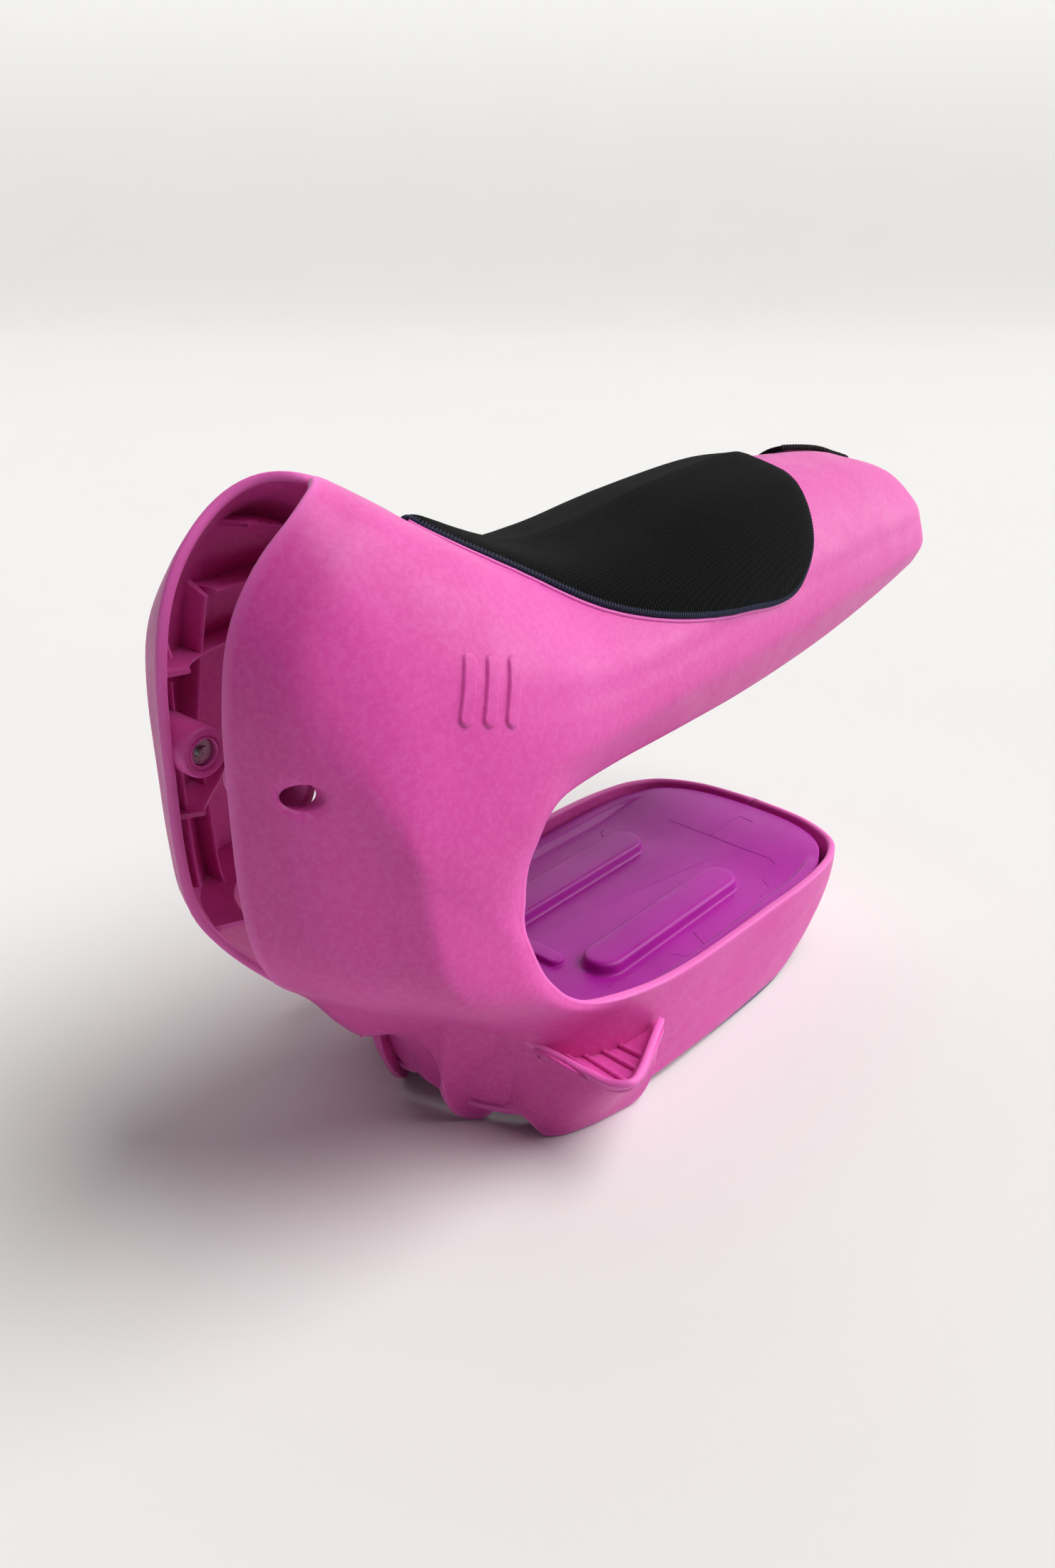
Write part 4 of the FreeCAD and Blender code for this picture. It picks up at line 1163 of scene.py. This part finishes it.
def strap_band():
    """Woven strap as one long thick ribbon, with rolled selvedges and a sewn end."""
    shares = np.linspace(0, 1, STRAP_COLUMNS)
    rows = [refine(strap_row(STRAP_X0 + STRAP_W * f), STRAP_STEPS) for f in shares]
    low = soften(across(np.array(rows)), STRAP_ROUNDS)
    normals = grid_normals(low)
    if normals[2, STRAP_COLUMNS // 2, 2] < 0:
        normals = -normals
    thick = np.full((len(low), STRAP_COLUMNS, 1), STRAP_T * MM)
    thick[:, (0, -1)] *= SELVEDGE
    band = rounded_plate("strap", low + normals * thick, low, STRAP_BULGE, STRAP_BULGE)
    run = run_along(low[:, STRAP_COLUMNS // 2])
    float_attribute(band, "along", np.repeat(run, len(band.data.vertices) // len(low)))
    float_attribute(band, "wide", [v.co.x - STRAP_X0 * MM for v in band.data.vertices])
    float_attribute(band, "thread", 0.0)
    return join([band, strap_seams(low, normals, run)], "strap"), float(run[-1])


SEAM_PLACES = (2.2, 19.5)      # distances of the stitch rows from the free end
SEAM_STITCHES = 24
STITCH_SHARE = 0.72
STITCH_R = 0.32 * MM
STITCH_STEPS, STITCH_SIDES = 4, 6
STITCH_BOW, STITCH_DIP, STITCH_LIFT = 0.06 * MM, 0.12 * MM, 0.04 * MM


def strap_seams(low, normals, run):
    """Rows of stitches across the strap near its free end."""
    heap = Heap()
    reach = low.shape[1] - 3.0
    for distance in SEAM_PLACES:
        row = float(np.interp(distance * MM, run, np.arange(len(run))))
        line = sample(low, row)
        lead = normals[min(int(row), len(low) - 2)]
        for k in range(SEAM_STITCHES):
            start = 1.0 + reach * k / SEAM_STITCHES
            path = []
            ups = []
            for m in range(STITCH_STEPS + 1):
                f = m / STITCH_STEPS
                at = start + reach / SEAM_STITCHES * STITCH_SHARE * f
                up = lead[min(int(at), len(line) - 2)]
                bow = STITCH_BOW * math.sin(math.pi * f) - STITCH_DIP * (m in (0, STITCH_STEPS))
                path.append(sample(line, at) + up * (STRAP_T * MM + bow + STITCH_LIFT))
                ups.append(up)
            heap.add(*tube(path, STITCH_R, STITCH_SIDES, up=ups))
    seams = heap.build("seams")
    for name, value in (("thread", 1.0), ("along", 0.0), ("wide", 0.0)):
        float_attribute(seams, name, value)
    return seams


# lift of the lower and of the upper face of each tape
LOOP_TAPE = (0.1 * MM, 0.7 * MM)
HOOK_TAPE = (0.85 * MM, 1.6 * MM)
TAPE_MARGIN = 6                # tape edges inside the strap's edges
TAPE_START = 2.5
TAPE_STOP = 30.0
TAPE_GRID = (13, 11)
TAPE_BULGE = 0.4


def tape_patch(name, low_lift, high_lift):
    """Patch of hook or loop tape between the strap's free end and the nose."""
    rows, columns = TAPE_GRID
    low = []
    high = []
    for x in np.linspace(STRAP_X0 + TAPE_MARGIN, STRAP_X0 + STRAP_W - TAPE_MARGIN, rows):
        start = at_strap(STRAP_END_Y, x) + TAPE_START
        row = [on_top(x * MM, y * MM) for y in np.linspace(start, TAPE_STOP, columns)]
        low.append([place + normal * low_lift for place, normal in row])
        high.append([place + normal * high_lift for place, normal in row])
    return rounded_plate(name, np.array(high), np.array(low), TAPE_BULGE, TAPE_BULGE)


# ---- node materials ----
class Nodes:
    """Small helper that adds shader nodes to one material."""

    def __init__(self, name):
        self.material = bpy.data.materials.new(name)
        self.material.use_nodes = True
        self.tree = self.material.node_tree
        self.tree.nodes.clear()
        self.shader = self.tree.nodes.new("ShaderNodeBsdfPrincipled")
        output = self.tree.nodes.new("ShaderNodeOutputMaterial")
        self.put(output.inputs["Surface"], self.shader.outputs["BSDF"])
        self.place = self.add("TexCoord").outputs["Object"]

    def put(self, socket, value):
        """Set a socket to a constant or link another socket to it."""
        if hasattr(value, "links"):
            self.tree.links.new(value, socket)
        else:
            socket.default_value = value

    def add(self, kind, **values):
        """New node with some of its sockets set."""
        node = self.tree.nodes.new("ShaderNode" + kind)
        for key, value in values.items():
            self.put(node.inputs[key.replace("_", " ")], value)
        return node

    def noise(self, scale, detail=4.0, rough=0.55, where=None):
        """Uneven field, in turns a metre."""
        where = where or self.place
        node = self.add("TexNoise", Vector=where, Scale=scale, Detail=detail, Roughness=rough)
        return node.outputs["Fac"]

    def cells(self, scale):
        """Distance to the middle of small cells."""
        return self.add("TexVoronoi", Vector=self.place, Scale=scale).outputs["Distance"]

    def stretched(self, scale):
        """Place with its own scale on each axis."""
        return self.add("Mapping", Vector=self.place, Scale=scale).outputs["Vector"]

    def attribute(self, name):
        """Number stored per point by float_attribute."""
        node = self.add("Attribute")
        node.attribute_name = name
        return node.outputs["Fac"]

    def math(self, operation, a, b=0.0):
        node = self.add("Math")
        node.operation = operation
        self.put(node.inputs[0], a)
        self.put(node.inputs[1], b)
        return node.outputs[0]

    def spread(self, value, low, high, to_low=0.0, to_high=1.0):
        """Value moved from one range to another and kept inside it."""
        ends = dict(From_Min=low, From_Max=high, To_Min=to_low, To_Max=to_high)
        return self.add("MapRange", Value=value, **ends).outputs["Result"]

    def mix(self, factor, a, b):
        """From tone a to tone b."""
        node = self.add("Mix")
        node.data_type = "RGBA"
        for k, value in ((0, factor), (6, a), (7, b)):
            self.put(node.inputs[k], value)
        return node.outputs[2]

    def edge_wear_and_highlight(self, base, low, high, most, tone):
        """Another tone on convex edges: real wear on the rubber and the grey plastic, a painted
        highlight on the pink shell and the tray.
        """
        edges = self.add("NewGeometry").outputs["Pointiness"]
        return self.mix(self.spread(edges, low, high, 0.0, most), base, tone)

    def blotch(self, field, low, high, a, b, most=1.0):
        """From one tone to another where a field is high."""
        return self.mix(self.spread(field, low, high, 0.0, most), a, b)

    def axes(self):
        """The place's x, y and z."""
        return self.add("SeparateXYZ", Vector=self.place).outputs

    def wave(self, value, period):
        """Even wave along a value, in metres."""
        return self.math("SINE", self.math("MULTIPLY", value, 2 * math.pi / period))

    def bump(self, value, strength, distance):
        """Relief on top of the relief that is there already."""
        node = self.add("Bump", Height=value, Strength=strength, Distance=distance)
        normal = self.shader.inputs["Normal"]
        if normal.is_linked:
            self.put(node.inputs["Normal"], normal.links[0].from_socket)
        self.put(normal, node.outputs["Normal"])

    def set(self, **values):
        """Set the sockets of the surface shader."""
        for key, value in values.items():
            self.put(self.shader.inputs[key.replace("_", " ")], value)


def rgb(r, g, b):
    """Opaque linear colour."""
    return (r, g, b, 1.0)


def pink_plastic():
    """Moulded polymer with a fine eroded grain; its rims and convex edges are painted paler, as a
    highlight and a glow of light through the thin rims.
    """
    n = Nodes("pink_plastic")
    base = n.blotch(n.noise(9.0, 3.0), 0.35, 0.65, SHELL_DEEP, SHELL_LIGHT)
    base = n.blotch(n.noise(420.0, 4.0, 0.7), 0.42, 0.62, base, SHELL_FLECK, 0.16)
    # paler pink on convex edges and on the rims marked by the rim attribute: a painted highlight
    # and a painted glow through the thin rims
    base = n.edge_wear_and_highlight(base, 0.53, 0.62, 0.45, SHELL_RIM_HIGHLIGHT)
    base = n.mix(n.math("MULTIPLY", n.attribute("rim"), 0.75), base, SHELL_RIM_HIGHLIGHT)
    rough = n.spread(n.noise(60.0, 3.0), 0.35, 0.7, 0.43, 0.55)
    n.set(Base_Color=base, Roughness=rough, IOR=1.48, Specular_IOR_Level=0.40)
    n.set(Sheen_Weight=0.05, Sheen_Roughness=0.5, Sheen_Tint=SHELL_SHEEN)
    n.set(Subsurface_Weight=0.08, Subsurface_Scale=0.004, Subsurface_Radius=(1.0, 0.35, 0.7))
    n.bump(n.noise(1500.0, 3.0, 0.6), 0.16, 0.0003)
    n.bump(n.noise(260.0, 2.0), 0.05, 0.0005)
    return n.material


def tray_plastic():
    """Smoother polymer of the foot tray, coloured a darker, deeper pink than the shell as painted
    shade of the recess it lies in.
    """
    n = Nodes("tray_plastic")
    base = n.blotch(n.noise(14.0, 3.0), 0.35, 0.65, TRAY_SHADED_DEEP, TRAY_SHADED_LIGHT)
    # convex edges of the ribs and the ledge turn paler: a painted highlight
    base = n.edge_wear_and_highlight(base, 0.53, 0.60, 0.35, TRAY_EDGE_HIGHLIGHT)
    base = n.mix(n.math("MULTIPLY", n.attribute("line"), 0.8), base, TRAY_LINE)
    scuffs = n.noise(1.0, 5.0, 0.7, n.stretched((35.0, 130.0, 60.0)))
    n.set(Base_Color=base, Roughness=n.spread(scuffs, 0.3, 0.7, 0.34, 0.48))
    n.set(IOR=1.5, Specular_IOR_Level=0.28)
    n.bump(n.noise(900.0, 3.0, 0.6), 0.07, 0.0003)
    return n.material


WALE = 0.0016                  # pitch of the knit along the pad and across it
COURSE = 0.0013
KNIT_WOBBLE = 0.0006
KNIT_SKEW = 0.12


def knit_fabric():
    """Black warp knit: small raised loops in rows, with soft sheen; its colour is painted darker in
    the hollows and lighter on the loop tops, as shade and highlight.
    """
    n = Nodes("knit_fabric")
    x, y, _ = n.axes()
    wobble = n.math("MULTIPLY", n.noise(70.0, 2.0), KNIT_WOBBLE)
    along = n.math("ADD", n.math("ADD", x, wobble), n.math("MULTIPLY", y, KNIT_SKEW))
    sideways = n.math("SUBTRACT", n.math("ADD", y, wobble), n.math("MULTIPLY", x, KNIT_SKEW))
    wales, loops = n.wave(along, WALE), n.wave(sideways, COURSE)
    lift = n.math("ADD", n.math("MULTIPLY", wales, 0.6), n.math("MULTIPLY", loops, 0.4))
    lift = n.math("ADD", lift, n.math("MULTIPLY", n.math("MULTIPLY", wales, loops), 0.7))
    level = n.spread(lift, -1.2, 1.5)
    # tone follows the relief: painted shade in the hollows between loops, painted highlight on the
    # loop tops
    tone = n.mix(level, KNIT_HOLLOW_SHADE, KNIT_LOOP_HIGHLIGHT)
    tone = n.blotch(n.noise(22.0, 3.0), 0.3, 0.7, tone, KNIT_DUST, 0.35)
    n.set(Base_Color=tone, Roughness=0.92, Specular_IOR_Level=0.06)
    n.set(Sheen_Weight=0.03, Sheen_Roughness=0.4, Sheen_Tint=KNIT_SHEEN)
    n.bump(level, 0.85, 0.00045)
    n.bump(n.noise(1600.0, 3.0, 0.7), 0.25, 0.0002)
    return n.material


def hem_thread():
    """Navy binding with paler wound thread."""
    n = Nodes("hem_thread")
    strand = n.noise(2600.0, 2.0)
    tone = n.mix(n.attribute("thread"), HEM_CORE, HEM_THREAD)
    tone = n.blotch(strand, 0.35, 0.7, tone, HEM_LIGHT, 0.45)
    n.set(Base_Color=tone, Roughness=0.75, Specular_IOR_Level=0.2, Sheen_Weight=0.06)
    n.bump(strand, 0.4, 0.00015)
    return n.material


WEB_RIB = 0.0021               # pitch of the webbing's ribs and of its picks
WEB_PICK = 0.0017


def webbing():
    """Black woven tape: herringbone ribs along its length, painted darker in the hollows and
    lighter on the ribs, as shade and highlight.
    """
    n = Nodes("webbing")
    ribs_across = n.wave(n.attribute("wide"), WEB_RIB)
    run = n.math("MULTIPLY", n.attribute("along"), 2 * math.pi / WEB_PICK)
    picks = n.math("SINE", n.math("ADD", run, n.math("MULTIPLY", ribs_across, 1.4)))
    level = n.spread(n.math("ADD", n.math("MULTIPLY", ribs_across, 0.5), picks), -1.4, 1.4)
    # tone follows the relief: painted shade in the hollows of the weave, painted highlight on its
    # ribs
    tone = n.mix(level, WEB_HOLLOW_SHADE, WEB_RIB_HIGHLIGHT)
    tone = n.blotch(n.noise(45.0, 3.0), 0.3, 0.7, tone, WEB_DUST, 0.3)
    tone = n.mix(n.attribute("thread"), tone, WEB_THREAD)
    n.set(Base_Color=tone, Roughness=0.88, Specular_IOR_Level=0.12, Sheen_Weight=0.04)
    n.bump(level, 0.8, 0.0004)
    n.bump(n.noise(2200.0, 2.0), 0.25, 0.0002)
    return n.material


def pile_tape(name, deep, light):
    """Hook and loop tape: dense short pile."""
    n = Nodes(name)
    tufts = n.cells(900.0)
    tone = n.mix(n.spread(tufts, 0.0, 0.6, 1.0, 0.0), deep, light)
    tone = n.blotch(n.noise(60.0, 3.0), 0.3, 0.7, tone, deep, 0.3)
    n.set(Base_Color=tone, Roughness=0.9, Specular_IOR_Level=0.25, Sheen_Weight=0.2)
    n.bump(tufts, 0.9, 0.0005)
    return n.material


def rubber():
    """Soft grey-violet sole rubber with uneven tone and scuffed edges."""
    n = Nodes("sole_rubber")
    tone = n.blotch(n.noise(24.0, 5.0, 0.6), 0.35, 0.65, RUBBER_DEEP, RUBBER_LIGHT)
    tone = n.edge_wear_and_highlight(tone, 0.52, 0.60, 0.6, RUBBER_WORN)
    n.set(Base_Color=tone, Roughness=n.spread(n.noise(90.0), 0.3, 0.7, 0.6, 0.8))
    n.set(Specular_IOR_Level=0.35)
    n.bump(n.noise(800.0, 3.0, 0.65), 0.35, 0.0004)
    return n.material


def dark_plastic():
    """Grey glass-filled polymer with a light flow pattern."""
    n = Nodes("dark_plastic")
    flow = n.noise(1.0, 5.0, 0.6, n.stretched((30.0, 120.0, 60.0)))
    tone = n.blotch(flow, 0.3, 0.7, PLATE_DEEP, PLATE_LIGHT)
    tone = n.edge_wear_and_highlight(tone, 0.53, 0.62, 0.5, PLATE_WORN)
    n.set(Base_Color=tone, Roughness=n.spread(n.noise(150.0), 0.3, 0.7, 0.42, 0.6))
    n.bump(n.noise(1100.0, 3.0, 0.6), 0.2, 0.0003)
    return n.material


def steel():
    """Turned stainless steel with fine brush lines and a few dull spots."""
    n = Nodes("steel")
    lines = n.noise(1.0, 4.0, 0.6, n.stretched((2600.0, 160.0, 2600.0)))
    tone = n.blotch(lines, 0.3, 0.7, STEEL_DEEP, STEEL_LIGHT)
    tone = n.blotch(n.noise(240.0, 4.0, 0.6), 0.55, 0.75, tone, STEEL_DULL, 0.6)
    n.set(Base_Color=tone, Metallic=1.0, Roughness=n.spread(lines, 0.3, 0.7, 0.24, 0.42))
    n.bump(lines, 0.2, 0.0001)
    return n.material


SHELL_DEEP = rgb(0.60, 0.045, 0.31)
SHELL_LIGHT = rgb(0.65, 0.062, 0.36)
SHELL_FLECK = rgb(0.80, 0.20, 0.58)
# paler pink painted on the shell's rims and convex edges as their highlight
SHELL_RIM_HIGHLIGHT = rgb(0.76, 0.14, 0.50)
SHELL_SHEEN = rgb(0.86, 0.78, 1.0)
# the tray's pinks are the shell's pink darkened by painted shade
TRAY_SHADED_DEEP = rgb(0.33, 0.008, 0.28)
TRAY_SHADED_LIGHT = rgb(0.41, 0.012, 0.345)
# paler pink painted on the tray's convex edges as their highlight
TRAY_EDGE_HIGHLIGHT = rgb(0.66, 0.05, 0.54)
TRAY_LINE = rgb(0.28, 0.008, 0.22)
# painted shade of the knit's hollows and painted highlight of its loop tops
KNIT_HOLLOW_SHADE = rgb(0.0010, 0.0010, 0.0012)
KNIT_LOOP_HIGHLIGHT = rgb(0.0065, 0.0068, 0.0075)
KNIT_DUST = rgb(0.0030, 0.0032, 0.0038)
KNIT_SHEEN = rgb(0.75, 0.8, 0.9)
HEM_CORE = rgb(0.010, 0.011, 0.022)
HEM_THREAD = rgb(0.020, 0.025, 0.058)
HEM_LIGHT = rgb(0.045, 0.055, 0.11)
# painted shade of the webbing's hollows and painted highlight of its ribs
WEB_HOLLOW_SHADE = rgb(0.004, 0.004, 0.005)
WEB_RIB_HIGHLIGHT = rgb(0.014, 0.014, 0.016)
WEB_DUST = rgb(0.010, 0.010, 0.012)
WEB_THREAD = rgb(0.030, 0.030, 0.034)
LOOP_DEEP = rgb(0.008, 0.008, 0.009)
LOOP_LIGHT = rgb(0.030, 0.030, 0.033)
HOOK_DEEP = rgb(0.30, 0.30, 0.31)
HOOK_LIGHT = rgb(0.52, 0.52, 0.53)
RUBBER_DEEP = rgb(0.12, 0.075, 0.14)
RUBBER_LIGHT = rgb(0.19, 0.125, 0.21)
RUBBER_WORN = rgb(0.30, 0.22, 0.33)
PLATE_DEEP = rgb(0.028, 0.026, 0.032)
PLATE_LIGHT = rgb(0.06, 0.055, 0.065)
PLATE_WORN = rgb(0.12, 0.11, 0.13)
STEEL_DEEP = rgb(0.36, 0.36, 0.37)
STEEL_LIGHT = rgb(0.62, 0.62, 0.63)
STEEL_DULL = rgb(0.20, 0.18, 0.17)


def dress(obj, material):
    """Give an object one material."""
    obj.data.materials.clear()
    obj.data.materials.append(material)
    return obj


# ---- pieces ----
SHELL_MATERIAL = pink_plastic()
for side, sign in SIDES:
    shell = dress(half_shell(side + "_half", sign), SHELL_MATERIAL)
    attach(shell, "saddle")
    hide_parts(side + "_shell")

tray = dress(foot_tray(), tray_plastic())
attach(tray, "saddle")
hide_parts("foot_tray")

pad = dress(seat_pad(), knit_fabric())
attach(pad, "saddle")
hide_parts("seat_foam", "seat_cover")

hem = dress(seat_edge(), hem_thread())
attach(hem, "saddle")
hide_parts("seat_hem")

strap, strap_length = strap_band()
dress(strap, webbing())
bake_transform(strap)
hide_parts("strap_base", "strap_end")

HOOK_PILE = pile_tape("hook_pile", HOOK_DEEP, HOOK_LIGHT)
hook_tape = dress(tape_patch("hook_tape", *HOOK_TAPE), HOOK_PILE)
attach(hook_tape, "strap_flap")
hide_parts("strap_hook_patch")

LOOP_PILE = pile_tape("loop_pile", LOOP_DEEP, LOOP_LIGHT)
loop_tape = dress(tape_patch("loop_tape", *LOOP_TAPE), LOOP_PILE)
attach(loop_tape, "saddle")
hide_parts("strap_loop_patch")

KEPT = {
    "outsole": rubber(),
    "base_plate": dark_plastic(),
    "seat_tapes": LOOP_PILE,
    "strap_anchor_bar": steel(),
}
SAME = {
    "spine_plate": "base_plate", "strap_bar_clips": "base_plate",
    "sleeve_screws": "strap_anchor_bar", "sleeve_nuts": "strap_anchor_bar",
    "tray_screws": "strap_anchor_bar", "spine_screws": "strap_anchor_bar",
}
for node, like in SAME.items():
    KEPT[node] = KEPT[like]
for node, material in KEPT.items():
    for obj in bpy.data.objects:
        if obj.type == "MESH" and obj.name.split(".")[0] == node:
            dress(obj, material)


# ---- studio ----
PAPER = rgb(0.755, 0.752, 0.745)
PAPER_SHADE = rgb(0.745, 0.742, 0.735)
BACKDROP_TURN = math.radians(41.0)
BACKDROP_GLOW = 0.95
GLOW_TOP = 2.2                 # height where the glow is full
GLOW_TINT = rgb(1.0, 0.995, 0.98)
PAPER_ROWS = (-4.0, -1.0)
PAPER_REACH = (-9.0, -3.0, 3.0, 9.0)
SWEEP_START = 3.0
SWEEP_R = 2.5
SWEEP_STEPS = 16
WALL_HEIGHT = 6.0
FLOOR_GAP = 0.0006
AIR = rgb(0.94, 0.95, 1.0)
AIR_STRENGTH = 0.10
# place, angle, strength and tint of the distant lights
LAMPS = {
    "key": ((0.46, -0.50, 1.1), 46.0, 3.05, (1.0, 0.985, 0.965)),
    "side": ((1.0, -0.60, 0.40), 30.0, 1.15, (0.96, 0.96, 1.0)),
}
LAMP_AIM = Vector((0.0, 0.0, 0.1))
EYE = (-0.3810, -0.2951, 0.3460)
EYE_TURN = (math.radians(64.0), 0.0, math.radians(-49.0))
LENS, SENSOR = 27.82, 36.0
CLIP = (0.01, 200.0)


def floor():
    """Pale paper floor, swept up far behind the object into a backdrop."""
    away = np.array((math.cos(BACKDROP_TURN), math.sin(BACKDROP_TURN)))
    side = np.array((-away[1], away[0]))
    profile = [(out, 0.0) for out in PAPER_ROWS]
    for k in range(SWEEP_STEPS + 1):
        a = math.pi / 2 * k / SWEEP_STEPS
        profile.append((SWEEP_START + SWEEP_R * math.sin(a), SWEEP_R * (1 - math.cos(a))))
    profile.append((SWEEP_START + SWEEP_R, SWEEP_R + WALL_HEIGHT))
    points = [
        (*(away * out + side * reach), up - FLOOR_GAP)
        for out, up in profile for reach in PAPER_REACH
    ]
    paper = mesh_object("floor", points, grid_faces(len(profile), len(PAPER_REACH)))
    n = Nodes("paper")
    tone = n.blotch(n.noise(3.0, 4.0), 0.3, 0.7, PAPER, PAPER_SHADE)
    n.set(Base_Color=tone, Roughness=0.9, Specular_IOR_Level=0.1, Emission_Color=GLOW_TINT)
    n.set(Emission_Strength=n.spread(n.axes()[2], 0.0, GLOW_TOP, 0.0, BACKDROP_GLOW))
    dress(paper, n.material)


def lamp(name, place, angle, strength, tint):
    """Even light from far away, as soft as its angle."""
    data = bpy.data.lights.new(name, "SUN")
    data.angle = math.radians(angle)
    data.energy = strength
    data.color = tint
    obj = bpy.data.objects.new(name, data)
    obj.location = place
    obj.rotation_euler = (LAMP_AIM - Vector(place)).to_track_quat("-Z", "Y").to_euler()
    bpy.context.scene.collection.objects.link(obj)


def studio():
    """Pale surroundings and soft lights."""
    bpy.context.scene.view_settings.view_transform = "Standard"
    world = bpy.data.worlds.new("surroundings")
    world.use_nodes = True
    background = world.node_tree.nodes["Background"]
    background.inputs["Color"].default_value = AIR
    background.inputs["Strength"].default_value = AIR_STRENGTH
    bpy.context.scene.world = world
    for name, values in LAMPS.items():
        lamp(name, *values)


def camera():
    """Camera at the rear right, 26 degrees above the level."""
    data = bpy.data.cameras.new("camera")
    data.sensor_fit = "VERTICAL"
    data.sensor_height = SENSOR
    data.lens = LENS
    data.clip_start, data.clip_end = CLIP
    data.dof.use_dof = False
    eye = bpy.data.objects.new("camera", data)
    eye.location = EYE
    eye.rotation_euler = EYE_TURN
    bpy.context.scene.collection.objects.link(eye)
    bpy.context.scene.camera = eye


floor()
studio()
camera()
